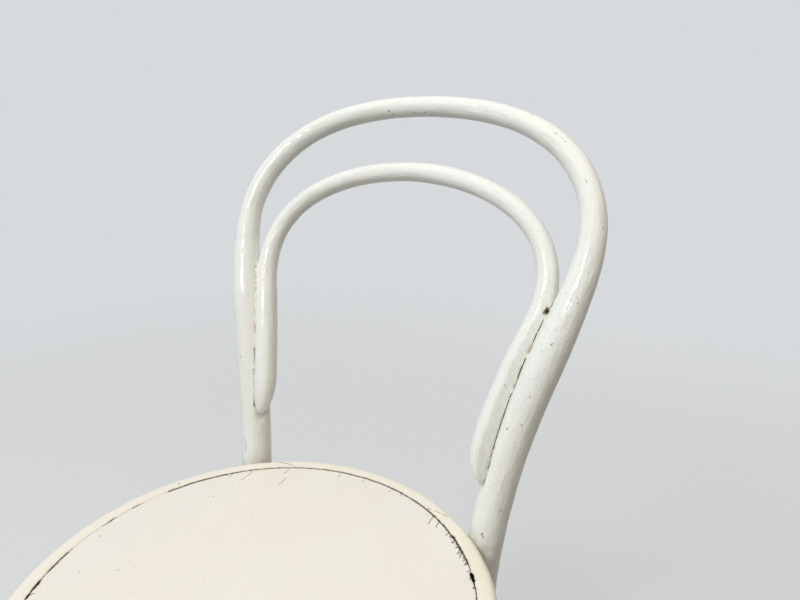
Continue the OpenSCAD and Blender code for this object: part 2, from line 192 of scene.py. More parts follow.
# A plain pale board that turns into the backdrop's colour away from the chair
def makeFloor():
    material, tree = emptyMaterial("paleFloor")
    matte = addNode(tree, "ShaderNodeBsdfDiffuse", {"Color": floor["colour"]})
    dull = addNode(tree, "ShaderNodeBsdfDiffuse", {"Color": floor["bounce"]})
    plain = addNode(tree, "ShaderNodeEmission", {"Color": light["backdrop"], "Strength": 1})
    place = addNode(tree, "ShaderNodeNewGeometry")
    far = addNode(tree, "ShaderNodeVectorMath", {"operation": "LENGTH"}, {0: place.outputs["Position"]})
    fade = addNode(tree, "ShaderNodeMapRange", {
        "interpolation_type": "SMOOTHSTEP",
        "From Min": floor["fadeFrom"] * mm, "From Max": floor["fadeTo"] * mm,
        "To Min": floor["plainShare"]}, {"Value": far.outputs["Value"]})
    board = addNode(tree, "ShaderNodeMixShader", {}, {
        0: fade.outputs[0], 1: matte.outputs[0], 2: plain.outputs[0]})
    mixed = addNode(tree, "ShaderNodeMixShader", {}, {
        0: seenDirectly(tree), 1: dull.outputs[0], 2: board.outputs[0]})
    addNode(tree, "ShaderNodeOutputMaterial", {}, {0: mixed.outputs[0]})
    bm = bmesh.new()
    bmesh.ops.create_circle(bm, cap_ends=True, segments=96, radius=floor["radius"] * mm)
    mesh = bpy.data.meshes.new("floor")
    bm.to_mesh(mesh)
    bm.free()
    mesh.materials.append(material)
    addObject("floor", mesh)


makeCamera()
makeLamps()
makeWorld()
makeFloor()
bpy.context.scene.view_settings.view_transform = "Standard"
print("camera and light set")


def slope(degrees):
    return math.tan(math.radians(degrees))


def bezier(a, b, c, d, t):
    return (1 - t) ** 3 * a + 3 * (1 - t) ** 2 * t * b + 3 * (1 - t) * t * t * c + t ** 3 * d


def stretch(a, b, c, d, count=400):
    t = np.linspace(0, 1, count)[:, None]
    return bezier(*(np.array(p, float) for p in (a, b, c, d)), t)


def smooth(low, high, value):
    t = np.clip((value - low) / (high - low), 0, 1)
    return t * t * (3 - 2 * t)


# How far a rounded edge has drawn in, at a given distance past its start
def roundedIn(edge, past):
    return edge - np.sqrt(edge ** 2 - np.clip(past, 0, edge) ** 2)


def turnsRound(count):
    return np.arange(count) * 2 * math.pi / count


# Distance along a path, and the path's points at given distances
def runOf(path):
    return np.concatenate([[0], np.cumsum(np.linalg.norm(np.diff(path, axis=0), axis=1))])


def pointsAt(path, distances):
    run = runOf(path)
    return np.stack([np.interp(distances, run, path[:, k]) for k in range(path.shape[1])], axis=1)


def nearestIndex(points, path):
    return [int(np.argmin(((path - p) ** 2).sum(axis=1))) for p in points]


# Smooth unevenness about as long as size, between about -1 and 1, the same on each run
def ripple(points, size, seed, count=14):
    draw = np.random.default_rng(seed)
    ways = unit(draw.normal(size=(count, points.shape[1])))
    waves = ways / (size * draw.uniform(0.6, 1.7, count))[:, None]
    return np.sin(points @ waves.T * 2 * math.pi + draw.uniform(0, 6.3, count)).sum(axis=1) / math.sqrt(count)


# Faces from a ring of n points to the next ring, of n points or half as many; under turns them over
def between(a, n, b, m, under=False):
    faces = []
    for k in range(m):
        on = (k + 1) % m
        if n == m:
            faces.append((a + k, b + k, b + on, a + on) if under else (a + k, a + on, b + on, b + k))
            continue
        p, q, s = a + 2 * k, a + 2 * k + 1, a + (2 * k + 2) % n
        if under:
            faces += [(q, p, b + k), (q, b + k, b + on), (s, q, b + on)]
        else:
            faces += [(p, q, b + k), (q, b + on, b + k), (q, s, b + on)]
    return faces


# Faces along a rod, with its ends closed by fans to a middle point
def tubeFaces(rings, sides, closed=False):
    faces = []
    for i in range(rings if closed else rings - 1):
        faces += between(i * sides, sides, (i + 1) % rings * sides, sides)
    if not closed:
        first = rings * sides
        last = (rings - 1) * sides
        for k in range(sides):
            n = (k + 1) % sides
            faces += [(first, n, k), (first + 1, last + k, last + n)]
    return faces


def withEnds(rings):
    ends = [rings[0].mean(axis=0), rings[-1].mean(axis=0)]
    return np.concatenate([rings.reshape(-1, 3), ends])


# How chips, cracks and head holes meet the paint round them, in mm or in shares of the mark's size
marks = {
    "spotReach": (1.5, 1.2), "lineReach": 1.3, "boxReach": 3, "holeReach": 3,      # where the mesh gets finer
    "refineRounds": 5,
    "spotWobble": 0.22, "spotFloor": (0.8, 1.05), "spotStain": (0.9, 1.12), "spotLip": (1.18, 0.16),
    "lineWobble": 0.3, "lineStart": 0.12, "lineEnd": 0.7, "dashSoft": 0.4, "wall": 1.6,
    "holeWall": 2.5, "holeDepth": 9, "holeStain": (0.02, 0.4),
}
plainLine = {"taper": True, "dash": 6, "hidden": -1, "lift": 0.03}      # a line is whole where hidden is -1


# Splits the faces near a mark until their edges are as short as cell
def refine(bm, reachOf, cell):
    for _ in range(marks["refineRounds"]):
        bm.verts.ensure_lookup_table()
        near = reachOf(np.array([v.co for v in bm.verts]))
        bm.verts.index_update()
        edges = [e for e in bm.edges
                 if near[e.verts[0].index] and near[e.verts[1].index] and e.calc_length() > cell]
        if not edges:
            break
        bmesh.ops.subdivide_edges(bm, edges=edges, cuts=1, use_grid_fill=True)
    wide = [f for f in bm.faces if len(f.verts) > 4]
    bmesh.ops.triangulate(bm, faces=wide)


# The points in a line's box, how far each is from the line, and where along it
def besideLine(points, line):
    low, high = line.min(axis=0) - marks["boxReach"], line.max(axis=0) + marks["boxReach"]
    box = np.flatnonzero(((points > low) & (points < high)).all(axis=1))
    points = points[box]
    best = np.full(len(points), 1e9)
    share = np.zeros(len(points))
    run = runOf(line)
    for i in range(len(line) - 1):
        d = line[i + 1] - line[i]
        t = np.clip((points - line[i]) @ d / (d @ d), 0, 1)
        away = np.linalg.norm(points - line[i] - t[:, None] * d, axis=1)
        closer = away < best
        best[closer] = away[closer]
        share[closer] = (run[i] + t[closer] * (run[i + 1] - run[i])) / run[-1]
    return box, best, share


# A spot has a place, two directions, two half-sizes, a depth and a look; a line has points,
# a half-width, a depth and a look; a look says which masks it fills, and how much
def nearMarks(points, spots, lines, holes):
    near = np.zeros(len(points), bool)
    wider, more = marks["spotReach"]
    for hole in holes:
        near |= np.linalg.norm(points - hole["at"], axis=1) < hole["radius"] + marks["holeReach"]
    for spot in spots:
        near |= np.linalg.norm(points - spot["at"], axis=1) < max(spot["size"]) * wider + more
    for line in lines:
        box, away, _ = besideLine(points, line["points"])
        near[box] |= away < line["width"] + marks["lineReach"]
    return near


def fillMasks(masks, box, look, strength):
    for name, amount in look.items():
        masks[name][box] = np.maximum(masks[name][box], amount * strength)


def carve(points, normals, spots, lines, masks):
    moved = np.zeros(len(points))
    for n, spot in enumerate(spots):
        rel = points - spot["at"]
        a, b = spot["size"]
        box = np.flatnonzero(np.linalg.norm(rel, axis=1) < max(a, b) * 1.8 + 1)
        wobble = 1 + marks["spotWobble"] * ripple(points[box], min(a, b) * 1.6, 100 + n)
        e = np.hypot(rel[box] @ spot["u"] / a, rel[box] @ spot["v"] / b) / wobble
        lipAt, lipWide = marks["spotLip"]
        lip = np.exp(-((e - lipAt) / lipWide) ** 2) * spot["lift"]
        moved[box] += lip - spot["depth"] * (1 - smooth(*marks["spotFloor"], e))
        fillMasks(masks, box, spot["look"], 1 - smooth(*marks["spotStain"], e))
    for n, line in enumerate(lines):
        box, away, share = besideLine(points, line["points"])
        ends = 1
        if line["taper"]:
            ends = np.minimum(smooth(0, marks["lineStart"], share), 1 - smooth(marks["lineEnd"], 1, share))
        broken = 0.5 + 0.5 * ripple(points[box], line["dash"], 300 + n)
        opened = ends * smooth(line["hidden"], line["hidden"] + marks["dashSoft"], broken)
        wobble = 1 + marks["lineWobble"] * ripple(points[box], 1.4, 500 + n)
        width = line["width"] * opened * wobble + 1e-6
        inside = np.clip(1 - away / width, 0, 1)
        lip = np.exp(-((away - width * 1.5) / (width * 0.5 + 0.1)) ** 2) * line["lift"] * opened
        moved[box] += lip - line["depth"] * np.minimum(1, inside * marks["wall"])
        fillMasks(masks, box, line["look"], smooth(0, 0.5, inside))
    return points + normals * moved[:, None]


# Holes for heads: each has the middle of its bottom, a direction out of the wood, and a radius
def sink(points, holes, masks):
    for hole in holes:
        rel = points - hole["at"]
        deep = rel @ hole["out"]
        across = np.linalg.norm(rel - deep[:, None] * hole["out"], axis=1) - hole["radius"]
        cut = np.maximum(0, deep - marks["holeWall"] * np.maximum(0, across))
        cut = np.where((across < marks["holeReach"]) & (deep < marks["holeDepth"]), cut, 0)
        masks["grimeAndShade"][:] = np.maximum(masks["grimeAndShade"], smooth(*marks["holeStain"], cut))
        points = points - cut[:, None] * hole["out"]
    return points


def spotOn(place, long, wide, look, depth=0.25, slant=0, lift=0.08):
    c, s = math.cos(math.radians(slant)), math.sin(math.radians(slant))
    u, v = place["u"], place["v"]
    return {"at": place["at"], "u": c * u + s * v, "v": c * v - s * u, "size": (long / 2, wide / 2),
            "look": look, "depth": depth, "lift": lift}


def filledIn(stops, perStop):
    stops = np.array(stops, float)
    t = np.linspace(0, len(stops) - 1, perStop * len(stops))
    return np.stack([np.interp(t, np.arange(len(stops)), column) for column in stops.T], axis=1)


# Makes a piece from millimetre points, finishes its marks and puts it into the frame
def build(name, points, faces, space, material, spots=(), lines=(), cell=0.4, tones=None, holes=()):
    mesh = bpy.data.meshes.new(name)
    mesh.from_pydata(points.tolist(), [], faces)
    mesh.attributes.new("brushSpace", "FLOAT_VECTOR", "POINT").data.foreach_set("vector", space.ravel())
    if spots or lines or holes:
        bm = bmesh.new()
        bm.from_mesh(mesh)
        refine(bm, lambda p: nearMarks(p, spots, lines, holes), cell)
        bm.to_mesh(mesh)
        bm.free()
    count = len(mesh.vertices)
    co, normals = np.empty(count * 3), np.empty(count * 3)
    mesh.vertices.foreach_get("co", co)
    mesh.vertex_normals.foreach_get("vector", normals)
    co, normals = co.reshape(-1, 3), normals.reshape(-1, 3)
    masks = {k: np.zeros(count) for k in ("bare", "dark", "grimeAndShade")}
    if tones:
        tones(co, masks)
    co = sink(co, holes, masks)
    co = carve(co, normals, spots, lines, masks)
    for key, values in masks.items():
        mesh.attributes.new(key, "FLOAT", "POINT").data.foreach_set("value", values.astype(np.float32))
    mesh.vertices.foreach_set("co", (co * mm + np.array(seatMiddle)).ravel())
    mesh.shade_smooth()
    mesh.update()
    mesh.materials.append(material)
    made = addObject(name, mesh)
    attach(made, "root")
    triangles = sum(len(p.vertices) - 2 for p in mesh.polygons)
    print(f"{name}: {triangles} triangles")
    return made


# Old oil gloss put on with a brush. Strokes run along the third direction of brushSpace.
# Each pattern is: mm across the stroke, mm along it, detail, roughness of the detail.
paints = {
    "backPaint": {
        "fresh": "#e9ecea", "aged": "#e2e1d2", "agedShare": 0.3, "roughness": 0.11, "coat": 0.1,
        "patterns": {"stroke": (2.4, 60, 3, 0.6), "sag": (9, 22, 2, 0.5), "patch": (60, 110, 3, 0.5)},
        "strokeDepth": 0.34, "sagDepth": 1.1, "dustDepth": 0.6},
    "seatPaint": {
        "fresh": "#ece8e0", "aged": "#e8e4d5", "agedShare": 0.4, "roughness": 0.33, "coat": 0.08,
        "patterns": {"stroke": (2.2, 90, 2, 0.5), "sag": (16, 38, 2, 0.5), "patch": (70, 120, 3, 0.5)},
        "strokeDepth": 0.14, "sagDepth": 0.9, "dustDepth": 0.22},
    "legPaint": {
        "fresh": "#e9e7e0", "aged": "#dfd7c2", "agedShare": 0.45, "roughness": 0.24, "coat": 0.25,
        "patterns": {"stroke": (1.5, 100, 2, 0.5), "sag": (11, 34, 2, 0.5), "patch": (60, 110, 3, 0.5)},
        "strokeDepth": 0.3, "sagDepth": 1.2, "dustDepth": 0.4},
}
paintPatterns = {
    "dust": (1.3, 1.9, 1, 0.5),      # nibs caught in the wet film
    "speck": (1.1, 1.1, 0, 0.5),     # fly specks and pin holes
    "soil": (5, 9, 4, 0.65),
    "pore": (0.5, 7, 3, 0.7),        # beech grain under the paint, coarser than real so that it shows
    "wear": (9, 30, 3, 0.5),
}
# Which mask lays which colour over the fresh paint, from the first layer to the last;
# the soil brown also paints shade on the posts below the seat's edge
paintLayers = {
    "patchMask": "aged", "strokeMask": "aged", "speckMask": "#8d8062", "soilAndShadeMask": "#86714f",
    "bare": "wood", "dark": "#1c1712",
}


# Gives the eye faint ridges along the stroke, long soft sags that bend the highlights, slow
# yellowing in patches, dirt in the low places with painted shade in the same brown on the posts
# below the seat's edge, and grey-brown wood where the film has gone
def brushedGloss(name, paint):
    material, tree = emptyMaterial(name)
    space = addNode(tree, "ShaderNodeAttribute", {"attribute_name": "brushSpace"}).outputs["Vector"]
    wire = {k: addNode(tree, "ShaderNodeAttribute", {"attribute_name": k}).outputs["Fac"]
            for k in ("bare", "dark", "grimeAndShade")}
    patterns = {**paint["patterns"], **paintPatterns}
    for n, (key, (across, along, detail, rough)) in enumerate(patterns.items()):
        scaled = addNode(tree, "ShaderNodeMapping", {
            "Location": (7.3 * n, 3.1 * n, 5.9 * n),
            "Scale": (1 / across, 1 / across, 1 / along)}, {"Vector": space})
        made = addNode(tree, "ShaderNodeTexNoise", {"Scale": 1, "Detail": detail, "Roughness": rough},
                       {"Vector": scaled.outputs[0]})
        wire[key] = made.outputs["Fac"]
    gloss = paint["roughness"]
    ranges = {
        "patchMask": ("patch", 0.35, 0.7, 0, paint["agedShare"]),
        "strokeMask": ("stroke", 0.35, 0.75, 0, 0.08),
        "speckMask": ("speck", 0.83, 0.87, 0, 0.6), "soilAndShadeMask": ("soil", 0.3, 0.75, 0.35, 1),
        "nibs": ("dust", 0.66, 0.86, 0, 1), "grain": ("pore", 0.35, 0.65, 0, 1),
        "gloss": ("wear", 0.3, 0.75, gloss - 0.05, gloss + 0.08),
    }
    for key, (source, *limits) in ranges.items():
        made = addNode(tree, "ShaderNodeMapRange", dict(zip((1, 2, 3, 4), limits)), {0: wire[source]})
        wire[key] = made.outputs[0]
    # The soil brown follows the grime mask: dirt, and painted shade on the posts below the seat's edge
    made = addNode(tree, "ShaderNodeMath", {"operation": "MULTIPLY"}, {0: wire["soilAndShadeMask"], 1: wire["grimeAndShade"]})
    wire["soilAndShadeMask"] = made.outputs[0]
    made = addNode(tree, "ShaderNodeMix", {"data_type": "RGBA", 6: "#5d5040", 7: "#9b8a72"}, {
        0: wire["grain"]})
    wire["wood"] = made.outputs[2]
    colour = addNode(tree, "ShaderNodeRGB").outputs[0]
    colour.default_value = toLinear(paint["fresh"])
    for mask, shade in paintLayers.items():
        settings = {"data_type": "RGBA", 7: paint.get(shade, shade)}
        links = {0: wire[mask], 6: colour}
        if shade in wire:
            del settings[7]
            links[7] = wire[shade]
        colour = addNode(tree, "ShaderNodeMix", settings, links).outputs[2]
    worn = addNode(tree, "ShaderNodeMath", {"operation": "MAXIMUM"}, {0: wire["bare"], 1: wire["dark"]})
    rough = addNode(tree, "ShaderNodeMath", {"operation": "MULTIPLY_ADD", 1: 0.6}, {
        0: worn.outputs[0], 2: wire["gloss"]})
    normal = None
    for key, depth in (("stroke", "strokeDepth"), ("nibs", "dustDepth"), ("sag", "sagDepth")):
        links = {"Height": wire[key]}
        if normal:
            links["Normal"] = normal
        settings = {"Strength": 1, "Distance": paint[depth] * mm}
        normal = addNode(tree, "ShaderNodeBump", settings, links).outputs[0]
    shader = addNode(tree, "ShaderNodeBsdfPrincipled", {
        "IOR": 1.5, "Coat Weight": paint["coat"], "Coat Roughness": 0.04},
        {"Base Color": colour, "Roughness": rough.outputs[0], "Normal": normal, "Coat Normal": normal})
    addNode(tree, "ShaderNodeOutputMaterial", {}, {0: shader.outputs[0]})
    return material


backPaint, seatPaint = paints["backPaint"], paints["seatPaint"]
backGloss = brushedGloss("brushedGlossWhiteBack", backPaint)
seatGloss = brushedGloss("brushedGlossCreamSeat", seatPaint)
ringGloss = brushedGloss("brushedGlossCreamRing", {**seatPaint, "fresh": "#f0ecdf", "aged": "#eae3ce"})
legGloss = brushedGloss("brushedGlossCreamLegs", paints["legPaint"])
seamGloss = brushedGloss("brushedGlossSeam", {**backPaint, "fresh": "#ebe9df", "aged": "#e2d9c0"})
print("paints made")

bow = {
    "rise": 379.5, "width": 389, "wideAt": 264,       # height and width of the loop above the seat
    "waist": 274, "waistAt": 76, "feet": 372,         # width and depth of the waist, width at the feet
    "crownBack": 150, "feetBack": 30,                 # how far crown and feet stand behind the seat
    "seatLean": 10.5, "crownLean": 36.5, "feetLean": 11,
    # How far the outline's curves pull at their ends, as shares of their heights and of the half-width
    "legBend": 0.35, "waistUp": 0.55, "wideDown": 0.2, "wideUp": 0.32, "crownOut": 0.87,
    "diameters": {"foot": 25, "seat": 33.5, "joint": 33.5, "wide": 24.5, "crown": 21.5},
    "fullShare": 0.66,                                # of wideAt, up to which the post keeps its thickness
    "notch": 4,                                       # depth of the notch on the seat ring
    "spacing": 1.9, "sides": 56, "footRound": 1.5,
    "endRings": (0, 0.25, 0.6, 1.1), "fromEnd": 1.7,  # close rings at the feet, mm
    "swells": ((0.14, 70, 1), (0.05, 22, 2)),         # mm that the radius wanders, over what length, seed
    "uneven": 0.06,                                   # ridges and sags in the paint, mm
    "boltSink": 2.5, "boltFlat": 17,                  # the flats under the bolts' heads
}

hoop = {
    "crownGap": 65.5, "crownBehind": 10,              # how far its crown stays below the bow's, and behind
    "leaveUp": 0.88, "crownOut": 0.5,                 # how far its curve pulls at both ends, as shares
    "crownD": 20, "legD": 24.5,
    "tipAt": 42, "leaveAt": 176, "tipLength": 44,     # joint from tip to where the hoop leaves the bow
    "jointCut": 5, "bowShare": 0.3, "glueLine": 0.35,
    "tipForward": 12, "leaveBehind": 4,
    "leftShorter": 4.5,                               # the left tip was cut a little higher
    "facet": {"turn": 28, "depth": 1.4, "from": 52, "to": 214},   # planed strip beside the right seam
    "spacing": 1.3, "sides": 52, "swells": ((0.1, 60, 3), (0.04, 20, 4)), "uneven": 0.06,
    "tipRings": (13, 0.12, 1.6), "fromTip": 1.2,      # rings at a tip: how many, first one's mm, growth
    "brushFrom": 5000,                                # so that its strokes aren't the bow's again
}

rodR = {k: v / 2 for k, v in bow["diameters"].items()}
ledgeZ = -(panelT + ringT) / 2
noFlat = 1000        # a distance that no rod reaches


def behind(z):
    z = np.asarray(z, float)
    rise, foot, seatSlope = bow["rise"], floorZ, slope(bow["seatLean"])
    up = bezier(0, seatSlope * rise / 3, bow["crownBack"] - slope(bow["crownLean"]) * rise / 3,
                bow["crownBack"], z / rise)
    down = bezier(0, seatSlope * foot / 3, bow["feetBack"] + slope(bow["feetLean"]) * foot / 3,
                  bow["feetBack"], z / foot)
    return np.where(z > 0, up, down)


def bowR(z):
    return np.interp(z, [floorZ, -ringT, bow["fullShare"] * bow["wideAt"], bow["wideAt"], bow["rise"]],
                     [rodR[k] for k in ("foot", "seat", "joint", "wide", "crown")])


# The right half of the bow in front view, from the foot to the crown
def bowOutline():
    foot = np.array([bow["feet"] / 2, floorZ])
    waist = np.array([bow["waist"] / 2, -bow["waistAt"]])
    wide = np.array([bow["width"] / 2, bow["wideAt"]])
    crown = np.array([0, bow["rise"]])
    pull = bow["legBend"] * (waist[1] - floorZ)
    side = wide[1] - waist[1]
    return [stretch(foot, foot + np.array([-0.2, 1]) * pull, waist - [0, pull], waist),
            stretch(waist, waist + [0, bow["waistUp"] * side], wide - [0, bow["wideDown"] * side], wide),
            stretch(wide, wide + [0, bow["wideUp"] * (crown[1] - wide[1])],
                    crown + [bow["crownOut"] * wide[0], 0], crown)]


leg, post, loop = bowOutline()
outline = np.concatenate([leg[:-1], post[:-1], loop])
rising = outline[:len(leg) + len(post)]


def halfWidth(z):
    return np.interp(z, rising[:, 1], rising[:, 0])


# The notch on the seat ring fixes how far behind the seat's middle the bow stands
postFromAxis = seatR + float(bowR(ledgeZ)) - bow["notch"]
postTurn = math.asin(float(halfWidth(ledgeZ)) / postFromAxis)
bowY = postFromAxis * math.cos(postTurn) - float(behind(ledgeZ))


def bowPoint(x, z):
    return np.stack(np.broadcast_arrays(x, bowY + behind(z), z), axis=-1)


def bothSides(half):
    return np.concatenate([half * [-1, 1, 1], half[-2::-1]])


# Directions along a path, towards the inside of its loop, and out of the rod's front
def axesOf(path):
    along = unit(np.gradient(path, axis=0))
    rise = (behind(path[:, 2] + 1) - behind(path[:, 2] - 1)) / 2
    front = unit(np.stack([np.zeros(len(path)), -np.ones(len(path)), rise], axis=1))
    return along, unit(np.cross(along, front)), front


def hoopLeg(z):
    z = np.asarray(z, float)
    lean = np.arctan((behind(z + 1) - behind(z - 1)) / 2)
    front = np.stack([np.zeros_like(z), -np.cos(lean), np.sin(lean)], axis=-1)
    along = np.stack([(halfWidth(z + 2) - halfWidth(z - 2)) / 4, np.tan(lean), np.ones_like(z)], axis=-1)
    inward = unit(np.cross(front, along))
    share = (z - hoop["tipAt"]) / (hoop["leaveAt"] - hoop["tipAt"])
    outFront = hoop["tipForward"] * (1 - share) - hoop["leaveBehind"] * share
    gap = bowR(z) + hoop["legD"] / 2 - hoop["jointCut"]
    across = np.sqrt(gap ** 2 - outFront ** 2)
    return bowPoint(halfWidth(z), z) + across[..., None] * inward + outFront[..., None] * front


hoopTop = bow["rise"] - hoop["crownGap"]


def hoopHalf():
    leg = hoopLeg(np.linspace(hoop["tipAt"], hoop["leaveAt"], 200))
    leave = leg[-1]
    onward = unit(leave - hoopLeg(np.array([hoop["leaveAt"] - 3.0]))[0])
    crown = bowPoint(0, hoopTop) + [0, hoop["crownBehind"], 0]
    over = stretch(leave, leave + onward * hoop["leaveUp"] * (hoopTop - leave[2]),
                   crown + [hoop["crownOut"] * leave[0], 0, 0], crown)
    return np.concatenate([leg[:-1], over])


bowLine = bothSides(bowPoint(outline[:, 0], outline[:, 1]))
hoopLine = bothSides(hoopHalf())
hoopTip = hoopLine[0, 2]


def hoopR(z):
    thinFrom = (hoop["leaveAt"] + hoopTop) / 2
    return np.interp(z, [hoop["leaveAt"], thinFrom], [hoop["legD"] / 2, hoop["crownD"] / 2])


def swollen(radius, path, swells):
    return radius + sum(amount * ripple(path, size, seed) for amount, size, seed in swells)


def tipShare(x, z):
    past = z - hoopTip - np.where(x < 0, hoop["leftShorter"], 0)
    return np.sqrt(np.maximum(0.0, 1 - (1 - np.clip(past / hoop["tipLength"], 0, 1)) ** 2))


def nearestOn(points, path):
    fine = pointsAt(path, np.arange(0, runOf(path)[-1], 0.5))
    return fine[nearestIndex(points, fine)]


# Distances along a rod, a few of them close together at each end
def closerAtEnds(length, rod):
    ends, fromEnd = np.array(rod["endRings"]), rod["fromEnd"]
    evenly = np.linspace(fromEnd, length - fromEnd, int(length / rod["spacing"]))
    return np.concatenate([ends, evenly, length - ends[::-1]])


# Corners round a rod, with the side towards the other rod pared to a soft-edged flat
def pared(middles, inside, front, radius, sides, uneven, flats=()):
    turn = turnsRound(sides)
    offset = radius[:, None, None] * np.stack([np.cos(turn), np.sin(turn)], axis=1)[None]
    run = np.broadcast_to(runOf(middles)[:, None] / 4, offset.shape[:2])
    place = np.concatenate([offset, run[..., None]], axis=2).reshape(-1, 3)
    ridges = 0.7 * ripple(place, 8, 601) + 0.5 * ripple(place, 4.5, 602) + 0.6 * ripple(place, 14, 603)
    share = uneven * ridges.reshape(offset.shape[:2]) / np.maximum(radius, 4)[:, None]
    offset = offset * (1 + share)[..., None]
    for facing, flat in flats:
        past = (offset * facing[:, None, :]).sum(axis=2) - flat[:, None]
        soft = 0.5 * (past + np.sqrt(past ** 2 + 0.3)) - 0.02
        soft = np.where(flat[:, None] >= noFlat / 10, 0, np.maximum(soft, 0))
        offset = offset - soft[:, :, None] * facing[:, None, :]
    return middles[:, None] + offset[..., :1] * inside[:, None] + offset[..., 1:] * front[:, None]


# Where a rod lies against the other one: direction to it in the section, and the flat's distance
def flatAgainst(path, along, inside, front, radius, other, otherR, share):
    to = other - path
    facing = np.stack([(to * inside).sum(axis=1), (to * front).sum(axis=1)], axis=1)
    apart = np.linalg.norm(facing, axis=1)
    off = np.abs((to * along).sum(axis=1))
    cut = np.maximum(0, radius + otherR - apart) * (1 - smooth(2, 11, off))
    flat = np.where(cut > 0.02, radius - share * cut - hoop["glueLine"] / 2, noFlat)
    return unit(facing), flat


# The ring's section is grown a little, and a post's wood inside it is moved out to its surface
def clearOfSeat(points, gap=0.15):
    r = np.hypot(points[..., 0], points[..., 1])
    z = points[..., 2]
    corner = seat["edgeRound"]
    deep = np.clip(np.maximum(z + corner, -ringT + corner - z), 0, corner + gap)
    out = seatR - corner + np.sqrt(np.maximum(0, (corner + gap) ** 2 - deep ** 2))
    out = np.where((z > gap) | (z < -ringT - gap), 0, out)
    grow = np.maximum(out, r) / np.maximum(r, 1e-6)
    moved = points.copy()
    moved[..., :2] *= grow[..., None]
    return moved


# Turns the sections near one end level, so that the end is a level cut; high is measured from it
def levelled(rings, middles, along, high, fade):
    rel = rings - middles[:, None]
    slide = rel[..., 2:] / along[:, None, 2:] * (1 - smooth(4, fade, high))[:, None, None]
    return rings - slide * along[:, None]


def roundedOver(rings, middles, edge, high):
    rel = rings - middles[:, None]
    size = np.maximum(np.linalg.norm(rel, axis=2, keepdims=True), 1e-6)
    return middles[:, None] + rel * (1 - roundedIn(edge, edge - high)[:, None, None] / size)


def cutAtFloor(rings, middles, along, edge):
    high = middles[:, 2] - floorZ
    return roundedOver(levelled(rings, middles, along, high, 45), middles, edge, high)


def rodSpace(radius, run, sides):
    turn = turnsRound(sides)
    space = np.empty((len(run), sides, 3))
    space[..., 0] = radius[:, None] * np.cos(turn)
    space[..., 1] = radius[:, None] * np.sin(turn)
    space[..., 2] = run[:, None]
    return space


# A place on a rod: nearest to (x, z) in front view, turned from the front towards the outside
def onRod(path, radiusOf, x, z, turn):
    i = int(np.argmin((path[:, 0] - x) ** 2 + (path[:, 2] - z) ** 2))
    low = max(0, i - 3)
    along, inside, front = (a[i - low] for a in axesOf(path[low:i + 4]))
    a = math.radians(turn)
    normal = math.cos(a) * front - math.sin(a) * inside
    return {"at": path[i] + normal * float(radiusOf(path[i, 2])), "u": along, "v": np.cross(normal, along)}


def rodSpot(path, radiusOf, x, z, turn, *rest):
    return spotOn(onRod(path, radiusOf, x, z, turn), *rest)


def rodLine(path, radiusOf, stops, width, look, depth, more=None):
    points = np.array([onRod(path, radiusOf, *stop)["at"] for stop in filledIn(stops, 6)])
    return {"points": points, "width": width, "look": look, "depth": depth, **plainLine, **(more or {})}


chip = {"bare": 0.9}
speck = {"dark": 0.75}
scratch = {"bare": 0.8, "dark": 0.2}
hairline = {"dark": 0.85}
dirtyChip = {"grimeAndShade": 1, "bare": 0.5}

# Each chip or speck: x, z, turn, length, width, look, depth
bowSpots = [
    (-43, 378, -50, 3.0, 1.8, dirtyChip, 0.2), (-39.5, 378, -74, 2.2, 1.3, speck, 0.2),
    (-14, 379.5, -72, 2.8, 1.4, {"grimeAndShade": 1, "bare": 0.6}, 0.25), (-10.5, 379.5, -74, 1.4, 1.1, speck, 0.2),
    (-1, 379.5, -70, 2.2, 1.0, {"grimeAndShade": 0.9, "bare": 0.4}, 0.2), (115, 363, 35, 1.6, 1.0, chip, 0.2),
    (181, 311, 2, 5.0, 0.7, scratch, 0.12), (194, 275, 50, 3.0, 0.7, scratch, 0.12),
    (187, 220, 22, 1.0, 0.8, speck, 0.1), (186, 216, 29, 1.1, 0.9, speck, 0.1),
    (177.5, 180, 6, 1.8, 1.2, chip, 0.2), (164, 134, 11, 1.0, 0.8, speck, 0.1),
    (158, 110, 19, 1.3, 1.0, speck, 0.1), (156, 102, -20, 1.0, 0.8, speck, 0.1),
    (140.5, 4, 0, 2.5, 1.8, chip, 0.3), (140.5, 2, 5, 1.6, 1.2, chip, 0.25),
    (-158, 109, 7, 1.4, 1.0, speck, 0.12), (-191, 231, 30, 1.1, 0.8, speck, 0.1),
    # The long patch at x -184 turns the bow brown in the crotch where the hoop leaves it
    (-120, 361, 20, 1.4, 0.8, chip, 0.12), (-184, 199, -84, 10, 2.6, {"grimeAndShade": 1}, 0.05),
    (-168, -330, 10, 3.0, 1.8, chip, 0.3), (178, -400, -25, 2.6, 1.6, chip, 0.3),
    (-185, -452, 20, 5.0, 3.0, chip, 0.35), (185, -450, 60, 6.0, 3.2, chip, 0.35),
    (60, 376, 160, 2.4, 1.4, chip, 0.2), (-150, 60, 170, 2.0, 1.4, speck, 0.15),
]
